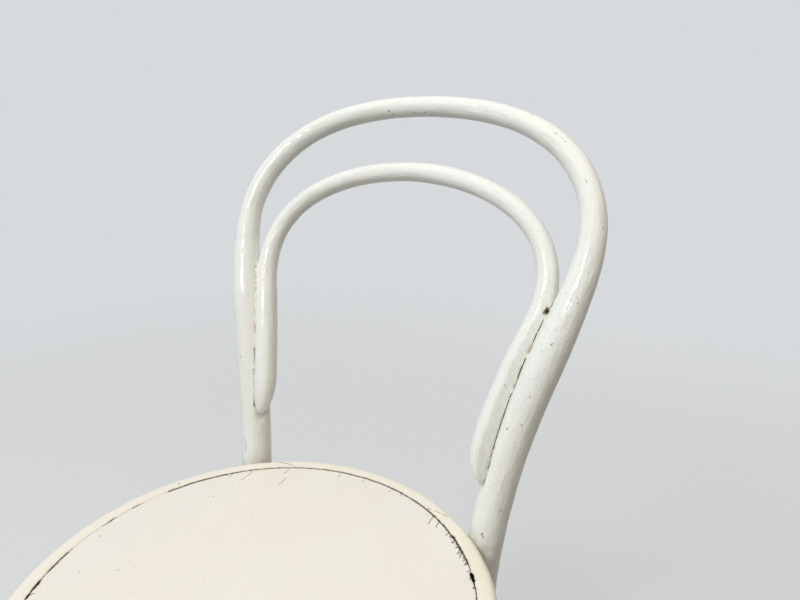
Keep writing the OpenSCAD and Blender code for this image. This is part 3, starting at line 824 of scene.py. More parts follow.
# Each scratch or crack: its stops as (x, z, turn), half-width, look, depth
bowLines = [
    ([(142, 350, 10), (147, 347.5, 12)], 0.45, scratch, 0.15),
    ([(149, 346, 13), (151, 344.5, 14)], 0.4, scratch, 0.12),
    ([(153, 343, 15), (155, 342, 16)], 0.4, scratch, 0.12),
    ([(142.5, 33, 45), (142, 29, 35), (141.6, 25, 28)], 0.22, {"dark": 0.6}, 0.2),
    ([(-141.8, 23, 14), (-141.3, 17, 8), (-141, 10, 7), (-140.5, 3, -1)], 0.36, {"dark": 0.75}, 0.25),
    # The last line is a broken dark line sunk into the bow along the left hoop's edge
    ([(-147.5, 56, -35), (-149.5, 67.4, -40), (-151.7, 79.2, -42), (-154.9, 94.3, -46), (-159, 112.3, -51),
      (-162, 124, -55)], 0.62, {"dark": 0.95}, 0.4, {"taper": False, "dash": 4, "hidden": -0.55}),
]
hoopSpots = [
    (141, 139, 9, 1.2, 1.0, speck, 0.12), (-130, 89, -58, 1.1, 0.9, speck, 0.12),
    (159.5, 203.5, 42, 8.0, 6.0, {"bare": 1}, 0.3), (159.5, 203.5, 40, 4.2, 3.0, {"dark": 1}, 1.6),
]


def moreGrimeAndShade(masks, amount):
    masks["grimeAndShade"][:] = np.maximum(masks["grimeAndShade"], amount)


# Dirt gathers where the posts stand on the seat and at the feet; below the seat's edge the posts get painted
# shade in the same brown, with some dirt
def bowTones(points, masks):
    z = points[:, 2]
    near = np.abs(np.hypot(points[:, 0], points[:, 1]) - seatR)
    low = np.exp(-((z + 14) / 22) ** 2) * np.exp(-near / 2.2)
    # Painted shade with some dirt: the posts turn brown just below the seat's edge
    under = smooth(-1, -6, z) * smooth(-90, -40, z) * np.exp(-near / 16)
    moreGrimeAndShade(masks, np.maximum(0.8 * low, 0.55 * under))
    moreGrimeAndShade(masks, 0.7 * np.exp(-(z - floorZ) / 14))


def makeBack():
    bowRun = closerAtEnds(runOf(bowLine)[-1], bow)
    path = pointsAt(bowLine, bowRun)
    along, inside, front = axesOf(path)
    radius = swollen(bowR(path[:, 2]), path, bow["swells"])

    length = runOf(hoopLine)[-1]
    count, first, growth = hoop["tipRings"]
    tips = first * np.arange(1, count + 1) ** growth
    tipped = tips[-1] + hoop["fromTip"]
    cut = hoop["leftShorter"] / math.cos(math.radians(bow["seatLean"])) + 0.3
    evenly = np.linspace(cut + tipped, length - tipped, int(length / hoop["spacing"]))
    hoopRun = np.concatenate([cut + tips, evenly, length - tips[::-1]])
    hoopPath = pointsAt(hoopLine, hoopRun)
    hoopAlong, hoopInside, hoopFront = axesOf(hoopPath)
    full = swollen(hoopR(hoopPath[:, 2]), hoopPath, hoop["swells"])
    share = np.maximum(tipShare(hoopPath[:, 0], hoopPath[:, 2]), 0.02)

    onHoop = nearestOn(path, hoopPath)
    flat = flatAgainst(path, along, inside, front, radius, onHoop, hoopR(onHoop[:, 2]), hoop["bowShare"])
    rings = pared(path, inside, front, radius, bow["sides"], bow["uneven"], [flat])
    rings = cutAtFloor(rings, path, along * np.sign(along[:, 2:]), bow["footRound"])
    rings = clearOfSeat(rings)
    bolts = []
    for side in (-1, 1):
        out = np.array([side * math.sin(postTurn), math.cos(postTurn), 0])
        flatFrom = postFromAxis + float(bowR(ledgeZ)) - bow["boltSink"]
        bolts.append({"at": flatFrom * out + [0, 0, ledgeZ], "out": out, "radius": bow["boltFlat"] / 2})
    backBow = build("backBow", withEnds(rings), tubeFaces(len(path), bow["sides"]),
                    withEnds(rodSpace(radius, bowRun, bow["sides"])), backGloss,
                    [rodSpot(bowLine, bowR, *spot) for spot in bowSpots],
                    [rodLine(bowLine, bowR, *line) for line in bowLines], 0.35, bowTones, bolts)
    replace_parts(backBow, "back_bow")

    onBow = nearestOn(hoopPath, path)
    facing, flat = flatAgainst(hoopPath, hoopAlong, hoopInside, hoopFront, full, onBow, bowR(onBow[:, 2]),
                               1 - hoop["bowShare"])
    slip = (full * (1 - share))[:, None]        # the tips thin out towards the bow
    middles = hoopPath + slip * (facing[:, :1] * hoopInside + facing[:, 1:] * hoopFront)
    facet = hoop["facet"]
    turn = math.radians(facet["turn"])
    planed = np.tile([-math.sin(turn), math.cos(turn)], (len(full), 1))
    deep = facet["depth"] * smooth(facet["from"] - 10, facet["from"] + 25, hoopPath[:, 2])
    deep *= (1 - smooth(facet["to"] - 40, facet["to"] + 15, hoopPath[:, 2])) * (hoopPath[:, 0] > 0)
    flats = [(facing, flat - slip[:, 0]), (planed, np.where(deep > 0.03, full * share - deep, noFlat))]
    rings = pared(middles, hoopInside, hoopFront, full * share, hoop["sides"], hoop["uneven"], flats)
    space = withEnds(rodSpace(full, hoopRun + hoop["brushFrom"], hoop["sides"]))
    innerHoop = build("innerHoop", withEnds(rings), tubeFaces(len(middles), hoop["sides"]), space, backGloss,
                      [rodSpot(hoopLine, hoopR, *spot) for spot in hoopSpots], cell=0.35)
    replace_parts(innerHoop, "inner_hoop")
    return {"middles": middles, "radius": full * share, "bowPath": path, "bowR": radius}


# The legs' values come before the seat's, because the screw holes in the seat ring follow them
frontLeg = {
    "angle": 42, "inset": 4, "splay": 4.5, "topD": 33, "footD": 24,
    "spacing": 3.2, "sides": 48, "footRound": 1.5, "topRound": 1.0, "uneven": 0.05,
    "endRings": (0, 0.3, 0.7, 1.3), "fromEnd": 2.2,
    "swells": ((0.1, 60, 71, 1), (0.04, 18, 75, 0)),     # as the bow's, and whether the sides differ
    "knocks": (0.22, 0.41, 0.63, 0.8, 0.93, 0.985),      # shares of the leg's length
    "knockLong": 2.4, "knockMore": 7,                    # mm long at the top, and how much more at the foot
    "brushFrom": 7000, "brushBetween": 900,              # so that no two rods have the same strokes
}

legRing = {
    "height": 265, "rodD": 20, "notch": 2, "headSink": 0.8, "headD": 8.5,
    "around": 720, "sides": 32, "swell": 0.08, "brushFrom": 11000,
    "gap": 0.15, "headGap": 0.3,         # clear of each leg, and round each screw's head
}

seat = {
    "ringW": 38, "edgeRound": 8,
    "rimW": 17.5,                # of the ring outside the round crack
    "around": 1080,              # points round the seat
    "dome": 0.21,                # how far the rim's top rises between its edges
    "waves": 0.1,                # unevenness of the painted board
    "stepAt": 49, "step": 0.6,   # where the ring's spliced ends don't quite meet
    "wander": 0.18,              # how far the ring's outside is out of round
    "innerTo": 150,              # the panel's fine rings end here
    # Radius of each coarser ring, and which share of the round points it has
    "panelRings": ((147.5, 2), (144.5, 2), (141.5, 2), (138, 2), (134, 2), (129, 2), (124, 2), (118, 4),
                   (112, 4), (106, 4), (99, 4), (92, 4), (85, 4), (77, 4), (69, 8), (61, 8), (52, 8),
                   (42, 8), (30, 8), (16, 8)),
    # The same for the panel's underside
    "underRings": ((165, 1), (120, 2), (80, 4), (40, 8)),
    "panelBrushFrom": 3000,
}

# Where paint has cracked open between ring and panel: from and to in degrees, and how wide in mm
crackSpans = [
    (-180, 180, 0.5), (60, 118, 1.2), (117, 139, 1.3), (138, 159.5, 1.6), (168.5, 171.5, 0.9),
    (177, 180.5, 1.0), (-167, -158, 1.1), (-156, -149, 1.6), (-147, -140, 0.7), (51.5, 60, 1.15),
    (43.5, 51.5, 1.55), (38.5, 43.5, 1.15), (32.4, 35.8, 2.8), (29.6, 32.4, 1.0), (24, 29.6, 0.7),
    (14, 20, 1.3), (-8, 1, 0.9), (-34, -30, 1.5), (-62, -55, 1.0), (-96, -90, 1.1), (-118, -112, 0.9),
]
bridged = [(-178.5, -168), (171.8, 176.6), (160, 168), (2, 12), (-50, -38), (-86, -68), (-132, -121)]
ragged = {"from": 38, "to": 58, "here": 1.3, "elsewhere": 0.3}      # the stretch with torn edges


def spanWindow(turn, first, last, soft):
    return smooth(first - soft, first + soft, turn) * (1 - smooth(last - soft, last + soft, turn))


def crackWidth(turn):
    wide = np.zeros_like(turn)
    flat = np.stack([turn * 1.0, turn * 0], axis=1)
    for first, last, size in crackSpans:
        wide = np.maximum(wide, size * spanWindow(turn, first, last, 0.5))
    wide *= 1 + 0.2 * ripple(flat, 1.6, 11) + 0.12 * ripple(flat, 0.5, 12)
    for first, last in bridged:
        wide *= 1 - 0.8 * spanWindow(turn, first, last, 0.6)
    return np.maximum(wide, 0.05)


turns = np.linspace(-180, 180, seat["around"], endpoint=False)
radians = np.radians(turns)
ringInside, rim = seatR - seat["ringW"], seatR - seat["rimW"]


def polar(r, z):
    r = r + 0 * radians
    return np.stack([r * np.cos(radians), r * np.sin(radians), z + 0 * r], axis=1)


gapWide = crackWidth(turns)
circle = polar(rim, 0)
torn = np.where((turns > ragged["from"]) & (turns < ragged["to"]), ragged["here"], ragged["elsewhere"])
crackMiddle = rim - 0.3 + 0.18 * ripple(circle, 9, 21) + 0.2 * torn * ripple(circle, 1.6, 22)
ringLip = crackMiddle + gapWide / 2 * (1 + 0.35 * torn * ripple(circle, 1.0, 23))
panelLip = crackMiddle - gapWide / 2 * (1 + 0.35 * torn * ripple(circle, 1.0, 24))
lipRound = 0.25 + 0.3 * np.minimum(gapWide, 1.5)


def quarter(steps):
    return np.arange(steps + 1) * math.pi / (2 * steps)


# Each band of the seat's section is a radius, the same or not all round, and a height
def lipBands(lip, outwards):
    bands = [(lip, z) for z in (-panelT, -6.5, -4, -2.4, -1.5, -1.0)]
    for a in quarter(5):
        bands.append((lip + outwards * lipRound * (1 - math.cos(a)), -lipRound * (1 - math.sin(a))))
    return bands


def topWaves(points):
    return seat["waves"] * (0.7 * ripple(points, 55, 31) + 0.3 * ripple(points, 17, 32))


# The crack is dark inside and dirt lies along its lips, the more the wider it is
def crackTones(lip, outwards, fade, least, more):
    def tones(points, masks):
        z = points[:, 2]
        turn = np.degrees(np.arctan2(points[:, 1], points[:, 0]))
        past = outwards * (np.hypot(points[:, 0], points[:, 1]) - np.interp(turn, turns, lip))
        inCrack = (past < 1.6) & (z < -0.15) & (z > -panelT - 0.1 * outwards)
        masks["dark"][:] = np.where(inCrack, smooth(-0.15, -0.9, z), 0)
        onLip = np.exp(-np.maximum(0, past - 0.2) / fade) * (z > -1)
        masks["grimeAndShade"][:] = onLip * np.minimum(1, least + more * np.interp(turn, turns, gapWide))
    return tones


def seatSpot(x, y, long, wide, look, depth=0.2, slant=0):
    place = {"at": np.array([x, y, 0.0]), "u": np.array([1.0, 0, 0]), "v": np.array([0, 1.0, 0])}
    return spotOn(place, long, wide, look, depth, slant, 0.06)


def seatLine(stops, width, look, depth, more=None):
    points = np.pad(filledIn(stops, 8), ((0, 0), (0, 1)))
    points[:, 0] += 0.5 * ripple(points, 7, 61)
    return {"points": points, "width": width, "look": look, "depth": depth, **plainLine, **(more or {})}


def at(r, turn):
    return (r * math.cos(math.radians(turn)), r * math.sin(math.radians(turn)))


# Spots are x, y, length, width, look, depth, slant; lines are stops, half-width, look, depth
ringSpots = [
    (*at(189.5, 155.3), 3.6, 1.2, speck, 0.2, -50), (*at(193, -60), 2.4, 1.6, chip, 0.25),
    (*at(196, -24), 3.0, 1.6, chip, 0.25),
]
ringLines = [
    ([at(199, 127.5), at(193.9, 123.2), at(188.5, 119.4), at(183.5, 116)], 0.7, hairline, 0.4),
    ([at(184, 65.7), at(189, 62), at(196.5, 56.9)], 0.55, hairline, 0.35,
     {"hidden": 0.2, "dash": 5, "taper": False}),
]
panelSpots = [
    (-172, -15, 1.8, 1.1, speck), (-115, -67, 1.4, 1.0, speck), (-114, -22, 1.3, 1.0, speck),
    (-123, 80, 1.6, 1.0, speck), (-128, 77, 1.2, 0.9, speck), (-119, -36, 1.2, 0.8, speck),
    (-147, -53, 1.2, 0.9, speck), (40, -60, 1.6, 1.2, speck), (96, -20, 1.3, 1.0, speck),
    (12, 44, 1.2, 0.9, speck), (-30, -120, 1.5, 1.1, speck),
]
panelLines = [
    ([(-120, 136), (-119, 122), (-121, 109)], 0.36, hairline, 0.35),
    ([(-135, 121), (-134.5, 112)], 0.32, hairline, 0.35),
    ([(-88, 159), (-87, 151), (-88, 144)], 0.36, hairline, 0.35),
    ([(-80, 145), (-79, 134), (-78, 124)], 0.34, hairline, 0.3),
    ([(-32, 176), (-31, 168)], 0.3, hairline, 0.3), ([(-4, 180), (-5, 172)], 0.3, hairline, 0.3),
    ([(30, 177), (29, 171)], 0.28, hairline, 0.3), ([(42, 177), (42, 171)], 0.28, hairline, 0.3),
    ([(87, 161.5), (88, 143)], 0.5, hairline, 0.4),
    # Raised runs in the paint
    ([(-128, -27), (-127, -9)], 1.2, {}, -0.18), ([(-137, -2), (-133, 16), (-129, 35)], 1.5, {}, -0.2),
    ([(-92, 20), (-86, 48)], 1.6, {}, -0.2), ([(-70, 78), (-62, 60), (-66, 44)], 1.8, {}, -0.22),
    ([(-100, 92), (-98, 118)], 1.3, {}, -0.15),
]
# Side cracks that run from the round one: degrees, and mm long
teeth = [
    (39.4, 3), (40.2, 6), (41.1, 4), (41.9, 3), (42.5, 5), (43.2, 7), (43.8, 4), (44.4, 6), (45.2, 8),
    (45.8, 4), (46.3, 3), (47.1, 6), (47.8, 3), (48.6, 4), (49.7, 7), (50.4, 4), (51, 3), (51.8, 5),
    (52.9, 6), (54.3, 3), (58.6, 11), (36.8, 4), (34.6, 6), (31, 4), (-153, 6), (-150.5, 4), (-161, 5),
]


def makeRing():
    corner = seat["edgeRound"]
    start, flatTo = ringLip + lipRound, seatR - corner
    bands = [(ringInside, z) for z in (1.2 - ringT, -24, -16, -panelT)]
    bands += [(ringInside + share * (ringLip - ringInside), -panelT) for share in (0.25, 0.5, 0.75)]
    bands += lipBands(ringLip, 1)
    for share in (0.06, 0.12, 0.2, 0.3, 0.4, 0.5, 0.6, 0.7, 0.8, 0.9):
        bands.append((start + share * (flatTo - start), seat["dome"] * 4 * share * (1 - share)))
    bands += [(flatTo + corner * math.sin(a), -corner * (1 - math.cos(a))) for a in quarter(12)]
    bands += [(seatR, z) for z in (-11, -14, -17, -21)]
    bands += [(flatTo + corner * math.cos(a), -ringT + corner * (1 - math.sin(a))) for a in quarter(8)]
    bands += [(r, -ringT) for r in (seatR - 15, seatR - 24, seatR - 32, ringInside + 1.2)]
    rings = np.array([polar(r, z) for r, z in bands])
    count, sides = len(rings), seat["around"]

    # Hand-finished edges: the outside wanders a little, and steps at the splice
    away = turns - seat["stepAt"]
    step = seat["step"] * np.exp(-(away / 9) ** 2) * np.where(away > 0, -1, 0) * smooth(0, 0.4, np.abs(away))
    wander = seat["wander"] * ripple(polar(seatR, 0), 120, 41) + step
    r = np.hypot(rings[..., 0], rings[..., 1])
    rings[..., :2] *= ((r + smooth(seatR - 12, seatR - 1, r) * wander) / r)[..., None]
    rings[..., 2] += np.where(rings[..., 2] > -2, topWaves(rings.reshape(-1, 3)).reshape(count, -1), 0)

    section = runOf(rings[:, 0])[:, None]
    space = np.stack(np.broadcast_arrays(section, 3 * np.sin(radians), np.abs(radians) * seatR), axis=-1)
    faces = []
    for i in range(count):
        faces += between(i * sides, sides, (i + 1) % count * sides, sides, under=True)
    screws = []
    for side in (-1, 1):
        turn = math.radians(frontLeg["angle"])
        out = np.array([-side * math.sin(turn), math.cos(turn), 0])
        bottom = (ringInside + legRing["headSink"] + legRing["headGap"]) * -out
        screws.append({"at": bottom + [0, 0, ledgeZ], "out": out, "radius": legRing["headD"] / 2})
    seatRing = build("seatRing", rings.reshape(-1, 3), faces, space.reshape(-1, 3), ringGloss,
                     [seatSpot(*spot) for spot in ringSpots], [seatLine(*line) for line in ringLines],
                     tones=crackTones(ringLip, 1, 0.5, 0.25, 0.5), holes=screws)
    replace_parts(seatRing, "seat_ring")


# Fine rings near the panel's edge, where the cracks are, and coarser ones further in and below
def makePanel():
    start = panelLip - lipRound
    bands = lipBands(panelLip, -1)
    bands += [(start + share * (seat["innerTo"] - start), 0) for share in np.linspace(0, 1, 27)[1:] ** 1.15]
    top = [polar(r, z) for r, z in bands] + [polar(r, 0)[::every] for r, every in seat["panelRings"]]
    low = [polar(r, -panelT)[::every] for r, every in seat["underRings"]]
    starts = np.cumsum([0] + [len(ring) for ring in top])
    lowStarts = starts[-1] + 1 + np.cumsum([0] + [len(ring) for ring in low])
    topChain = [(a, len(ring)) for a, ring in zip(starts, top)]
    lowChain = topChain[:1] + [(a, len(ring)) for a, ring in zip(lowStarts, low)]
    faces = []
    for chain, middle, under in ((topChain, starts[-1], False), (lowChain, lowStarts[-1], True)):
        for (a, n), (b, m) in zip(chain, chain[1:]):
            faces += between(a, n, b, m, under)
        last, n = chain[-1]
        faces += [(last + (k + under) % n, last + (k + 1 - under) % n, middle) for k in range(n)]
    points = np.concatenate([*top, [[0, 0, 0]], *low, [[0, 0, -panelT]]])
    points[:, 2] += np.where(points[:, 2] > -2, topWaves(points), 0)
    lines = [seatLine(*line) for line in panelLines]
    for n, (turn, long) in enumerate(teeth):
        x, y = at(rim - 0.8, turn)
        lean = 1.2 * math.sin(n * 2.3)
        reach = -long if y > 0 else long
        stops = [(x, y), (x + lean * 0.4, y + reach * 0.5), (x + lean, y + reach)]
        lines.append(seatLine(stops, 0.5, {"dark": 0.8, "grimeAndShade": 1}, 0.4))
    space = points[:, [0, 2, 1]] + [0, 0, seat["panelBrushFrom"]]
    seatPanel = build("seatPanel", points, faces, space, seatGloss,
                      [seatSpot(*spot) for spot in panelSpots], lines,
                      tones=crackTones(panelLip, -1, 0.6, 0.3, 0.6))
    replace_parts(seatPanel, "seat_panel")


makeRing()
makePanel()
joint = makeBack()

seam = {
    "spacing": 0.45, "points": 17, "length": 230,
    "radius": {-1: 1.5, 1: 1.15},         # of the hollow that the brush left, on the left and on the right
    "radiusFrom": 0.45, "radiusTo": 2.4,
    "lumps": {-1: 0.38, 1: 0.08},
    "crack": {-1: 0.95, 1: 0.75},         # width of the split
    "crackDepth": 1.1, "lip": 0.16,
    "dash": {-1: 6, 1: 10},               # length of the split's pieces
    "tipRadius": 4.5,                     # the hoop's radius where the bead starts
    "crotchGap": -0.4,                    # space between the rods where it ends
    "insideRod": 2.4,                     # how deep its back lies in each rod
    "brushFrom": 9000,
}


# Where hoop and bow lie side by side, from the hoop's tip up to where they part
def valley(side):
    keep = joint["middles"][:, 0] * side > 0
    half, radius = joint["middles"][keep], joint["radius"][keep]
    if side > 0:
        half, radius = half[::-1], radius[::-1]
    stations = np.arange(0.5, seam["length"], seam["spacing"])
    path = pointsAt(half, stations)
    along = unit(np.gradient(path, axis=0))
    hoopThick = np.interp(stations, runOf(half), radius)
    onBow = nearestOn(path, joint["bowPath"])
    bowThick = joint["bowR"][nearestIndex(onBow, joint["bowPath"])]
    to = onBow - path
    to -= (to * along).sum(axis=1)[:, None] * along
    apart = np.linalg.norm(to, axis=1)
    begin = int(np.argmax(hoopThick > seam["tipRadius"]))
    end = int(np.argmax((apart - hoopThick - bowThick > seam["crotchGap"]) & (stations > 60)))
    return [a[begin:end] for a in (path, along, to, apart, hoopThick, bowThick, stations)]


# The split's place across the bead, and where along it the split is open. On the right it crosses
# from the hoop's side to the bow's, and on the left it closes further up.
def splitOf(side, path, stations, seed):
    if side > 0:
        across = 0.26 + 0.42 * smooth(0.25, 0.5, ripple(path, 24, seed + 2))
        gone = -0.9
    else:
        across = 0.55 + 0.3 * (1 - smooth(20, 100, stations)) + 0.06 * ripple(path, 16, seed + 2)
        gone = np.interp(stations, [60, 85], [-0.9, 0.9])
    broken = smooth(0, 0.5, ripple(path, seam["dash"][side], seed + 4) - gone)
    return across[:, None], (broken * smooth(0, 2, stations - stations[0]))[:, None]


# A bead of old paint lies in each valley, split along one side or the other and broken in places
def makeSeam(side, face):
    name = ("left" if side < 0 else "right") + ("Front" if face > 0 else "Back") + "SeamPaint"
    seed = 200 + 7 * side + 3 * face
    path, along, to, apart, hoopThick, bowThick, stations = valley(side)
    towards = unit(to)
    outwards = unit(np.cross(towards, along))
    outwards = outwards * (-np.sign(outwards[:, 1]) * face)[:, None]
    ends = smooth(0, 10, stations - stations[0]) * (1 - smooth(-16, 0, stations - stations[-1]))
    lumps = 0.12 * ripple(path, 11, seed) + seam["lumps"][side] * ripple(path, 3.2, seed + 1)
    r = np.clip(seam["radius"][side] * (0.4 + 0.6 * ends) * (1 + lumps), seam["radiusFrom"], seam["radiusTo"])

    # The hollow's circle touches both rods: x runs from the hoop to the bow, y out of the valley
    x = (apart ** 2 + (hoopThick + r) ** 2 - (bowThick + r) ** 2) / (2 * apart)
    y = np.sqrt(np.maximum((hoopThick + r) ** 2 - x ** 2, 0.01))
    fromHoop, fromBow = np.arctan2(-y, -x), np.arctan2(-y, apart - x)
    share = np.linspace(0, 1, seam["points"])
    turn = fromHoop[:, None] + (fromBow - fromHoop)[:, None] * share

    # Widths across the bead are shares of its arc
    across, broken = splitOf(side, path, stations, seed)
    arc = np.maximum(r * (fromBow - fromHoop), 0.6)
    width = np.clip(seam["crack"][side] / 2 / arc, 0.08, 0.4)[:, None]
    away = np.abs(share - across)
    inCrack = np.clip(1.25 - away / width, 0, 1) * broken
    lip = seam["lip"] * np.exp(-((away - 1.9 * width) / 0.1) ** 2) * broken
    reach = r[:, None] + seam["crackDepth"] * inCrack - lip
    flatX = x[:, None] + reach * np.cos(turn)
    flatY = y[:, None] + reach * np.sin(turn)

    # Its long edges and its back lie inside the rods
    flatX[:, 0] -= 0.3
    flatX[:, -1] += 0.3
    inBow = (bowThick - seam["insideRod"]) / (bowThick + r)
    inHoop = (hoopThick - seam["insideRod"]) / (hoopThick + r)
    meet = apart * hoopThick / (hoopThick + bowThick)
    backX = np.stack([apart - (apart - x) * inBow, meet, x * inHoop], axis=1)
    backY = np.stack([y * inBow, np.minimum(y * 0.3, 3), y * inHoop], axis=1)
    flatX, flatY = np.concatenate([flatX, backX], axis=1), np.concatenate([flatY, backY], axis=1)
    rings = path[:, None] + flatX[..., None] * towards[:, None] + flatY[..., None] * outwards[:, None]
    sides = rings.shape[1]
    faces = tubeFaces(len(rings), sides)
    if np.cross(towards[0], outwards[0]) @ along[0] > 0:
        faces = [f[::-1] for f in faces]
    space = np.zeros((len(rings), sides, 3))
    space[..., 0] = np.arange(sides) * 0.4
    space[..., 2] = stations[:, None] + seam["brushFrom"]
    dark = np.concatenate([smooth(0.2, 0.7, inCrack), np.zeros((len(rings), 3))], axis=1).ravel()
    soil = np.repeat(np.clip(0.15 + 0.35 * ripple(path, 12, seed + 5), 0, 1), sides)

    def tones(points, masks):
        masks["dark"][:dark.size] = dark
        masks["grimeAndShade"][:soil.size] = soil

    build(name, withEnds(rings), faces, withEnds(space), seamGloss, tones=tones)


for side in (-1, 1):
    for face in (1, -1):
        makeSeam(side, face)


def legAxis(side):
    turn = math.radians(frontLeg["angle"])
    out = np.array([side * math.sin(turn), -math.cos(turn), 0])
    middle = seatR - seat["ringW"] / 2 - frontLeg["inset"]
    top = middle * out + [0, 0, -ringT]
    foot = top + (out * slope(frontLeg["splay"]) - [0, 0, 1]) * (-ringT - floorZ)
    return top, foot


def legR(share):
    return np.interp(share, [0, 1], [frontLeg["topD"] / 2, frontLeg["footD"] / 2])


# Dirt at the foot and under the seat ring
def legTones(points, masks):
    feet = 0.7 * np.exp(-(points[:, 2] - floorZ) / 14)
    masks["grimeAndShade"][:] = np.maximum(feet, 0.5 * np.exp((points[:, 2] + ringT) / 3))


def makeLeg(name, side):
    top, foot = legAxis(side)
    length = np.linalg.norm(foot - top)
    run = closerAtEnds(length, frontLeg)
    path = top + (foot - top) * (run / length)[:, None]
    along = np.tile(unit(foot - top), (len(run), 1))
    inside = unit(np.cross(along, [0.0, 1, 0]))
    front = np.cross(inside, along)
    swells = [(amount, size, seed + side * turned) for amount, size, seed, turned in frontLeg["swells"]]
    radius = swollen(legR(run / length), path, swells)
    rings = pared(path, inside, front, radius, frontLeg["sides"], frontLeg["uneven"])
    rings = cutAtFloor(rings, path, -along, frontLeg["footRound"])
    high = -ringT - path[:, 2]
    rings = roundedOver(levelled(rings, path, -along, high, 40), path, frontLeg["topRound"], high)
    spots = []
    for n, share in enumerate(frontLeg["knocks"]):
        a = math.radians((n * 97 + side * 40) % 360)
        normal = math.cos(a) * inside[0] + math.sin(a) * front[0]
        place = {"at": top + (foot - top) * share + normal * legR(share), "u": along[0],
                 "v": np.cross(normal, along[0])}
        size = frontLeg["knockLong"] + frontLeg["knockMore"] * share ** 4
        spots.append(spotOn(place, size, size * 0.55, chip if share > 0.5 else speck))
    brushed = run + frontLeg["brushFrom"] + frontLeg["brushBetween"] * side
    return build(name, withEnds(rings), tubeFaces(len(run), frontLeg["sides"]),
                 withEnds(rodSpace(radius, brushed, frontLeg["sides"])), legGloss,
                 spots, tones=legTones)


# The leg ring is the circle that touches the inner sides of all four legs
def makeLegRing():
    z = legRing["height"] + floorZ
    top, foot = legAxis(1)
    share = (-ringT - z) / (-ringT - floorZ)
    frontAt = top + (foot - top) * share
    rearAt, lower, upper = (bowPoint(halfWidth(h), h) for h in (z, z - 10.0, z + 10.0))
    frontFlat, rearFlat = frontAt[:2], rearAt[:2]
    middleY = (rearFlat @ rearFlat - frontFlat @ frontFlat) / 2 / (rearFlat[1] - frontFlat[1])
    middle = np.array([0, middleY, z])
    outer = math.dist(frontFlat, (0, middleY)) - legR(share) + legRing["notch"]
    legs = [(frontAt, float(legR(share)), unit(top - foot)), (rearAt, float(bowR(z)), unit(upper - lower))]
    legs += [(place * [-1, 1, 1], radius, along * [-1, 1, 1]) for place, radius, along in legs]

    rodRadius, count, sides = legRing["rodD"] / 2, legRing["around"], legRing["sides"]
    turn, section = turnsRound(count), turnsRound(sides)
    out = np.stack([np.cos(turn), np.sin(turn), 0 * turn], axis=1)
    path = middle + (outer - rodRadius) * out
    radius = rodRadius + legRing["swell"] * ripple(path, 60, 81)
    facing = np.cos(section)[None, :, None] * out[:, None] + np.sin(section)[None, :, None] * [0, 0, 1.0]
    rings = path[:, None] + radius[:, None, None] * facing

    # Scribed over each leg, and sunk for each leg's screw
    screws = []
    for place, thick, along in legs:
        rel = rings - place
        rel = rel - (rel @ along)[..., None] * along
        apart = np.linalg.norm(rel, axis=2)
        clear = thick + legRing["gap"]
        inward = unit(middle - place)
        deep = np.sqrt(np.maximum(0, clear ** 2 - np.maximum(0, apart ** 2 - (rel @ inward) ** 2)))
        rings = rings + np.where(apart < clear, deep - rel @ inward, 0)[..., None] * inward
        bottom = middle - inward * (outer - legRing["rodD"] + legRing["headSink"] + legRing["headGap"])
        screws.append({"at": bottom, "out": inward, "radius": legRing["headD"] / 2})

    def tones(points, masks):
        for place, _, _ in legs:
            away = np.linalg.norm(points[:, :2] - place[:2], axis=1)
            moreGrimeAndShade(masks, 0.8 * np.exp(-np.maximum(0, away - 15) / 4))

    brushed = np.abs(turn - math.pi) * outer + legRing["brushFrom"]
    space = rodSpace(np.full(count, rodRadius), brushed, sides)
    made = build("legRing", rings.reshape(-1, 3), tubeFaces(count, sides, True), space.reshape(-1, 3),
                 legGloss, tones=tones, holes=screws)
    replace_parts(made, "leg_ring")


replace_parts(makeLeg("leftFrontLeg", -1), "front_leg_left")
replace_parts(makeLeg("rightFrontLeg", 1), "front_leg_right")
makeLegRing()

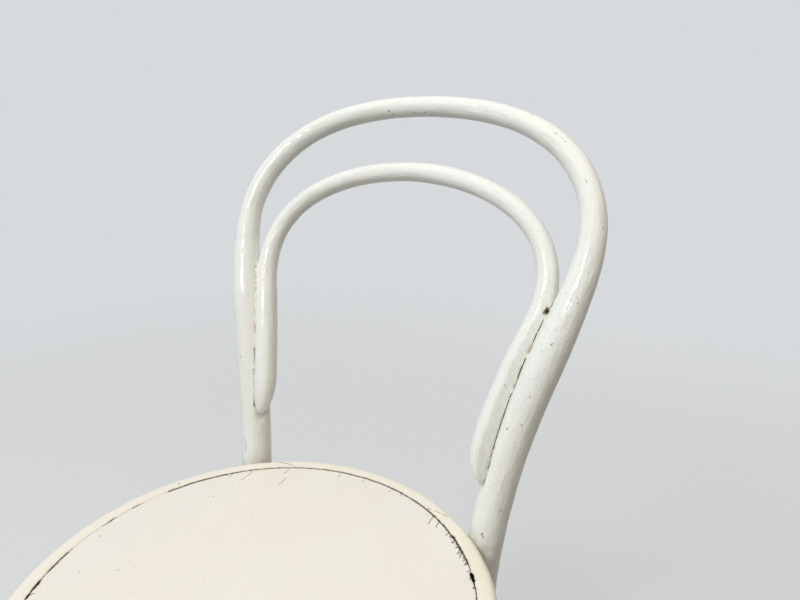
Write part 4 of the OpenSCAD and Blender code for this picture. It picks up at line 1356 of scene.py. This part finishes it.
fasteners = {
    "brushedOverScrewHeads": {
        "nodes": ("bow_bolts", "inner_hoop_screws", "leg_ring_screws"),
        "fresh": "#e6e3da", "aged": "#d5cbb3", "worn": "#5a4a3a", "wornFrom": 0.64, "wornTo": 0.7,
        "metallic": 0, "roughness": 0.28, "grain": 1.6, "depth": 0.12},
    "dulledZincPlatedSteel": {
        "nodes": ("bow_bolt_washers", "bow_bolt_nuts", "front_leg_screws"),
        "fresh": "#b4b3ae", "aged": "#8b8981", "worn": "#6b4f38", "wornFrom": 0.6, "wornTo": 0.74,
        "metallic": 0.85, "roughness": 0.42, "grain": 1.1, "depth": 0.04},
}


# Gives the eye a mottled film, with rust or bare metal where it has been knocked off
def fastenerFinish(name, look):
    material, tree = emptyMaterial(name)
    place = addNode(tree, "ShaderNodeTexCoord").outputs["Object"]
    wire = {}
    for n, (key, size) in enumerate({"film": 3, "knock": 1.5, "grit": 0.4}.items()):
        away = {"Location": (4.7 * n, 2.9 * n, 6.1 * n)}
        moved = addNode(tree, "ShaderNodeMapping", away, {"Vector": place})
        settings = {"Scale": 1 / (size * look["grain"] * mm), "Detail": 3}
        made = addNode(tree, "ShaderNodeTexNoise", settings, {"Vector": moved.outputs[0]})
        wire[key] = made.outputs["Fac"]
    knocked = addNode(tree, "ShaderNodeMapRange", {1: look["wornFrom"], 2: look["wornTo"]}, {
        0: wire["knock"]})
    film = addNode(tree, "ShaderNodeMix", {"data_type": "RGBA", 6: look["fresh"], 7: look["aged"]}, {
        0: wire["film"]})
    colour = addNode(tree, "ShaderNodeMix", {"data_type": "RGBA", 7: look["worn"]}, {
        0: knocked.outputs[0], 6: film.outputs[2]})
    rough = addNode(tree, "ShaderNodeMapRange", {3: look["roughness"], 4: look["roughness"] + 0.35}, {
        0: knocked.outputs[0]})
    bump = addNode(tree, "ShaderNodeBump", {"Strength": 1, "Distance": look["depth"] * mm}, {
        "Height": wire["grit"]})
    shader = addNode(tree, "ShaderNodeBsdfPrincipled", {"Metallic": look["metallic"]}, {
        "Base Color": colour.outputs[2], "Roughness": rough.outputs[0], "Normal": bump.outputs[0]})
    addNode(tree, "ShaderNodeOutputMaterial", {}, {0: shader.outputs[0]})
    return material


for name, look in fasteners.items():
    finish = fastenerFinish(name, look)
    for key in look["nodes"]:
        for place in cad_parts[key].material_slots:
            place.material = finish
print("fasteners finished")
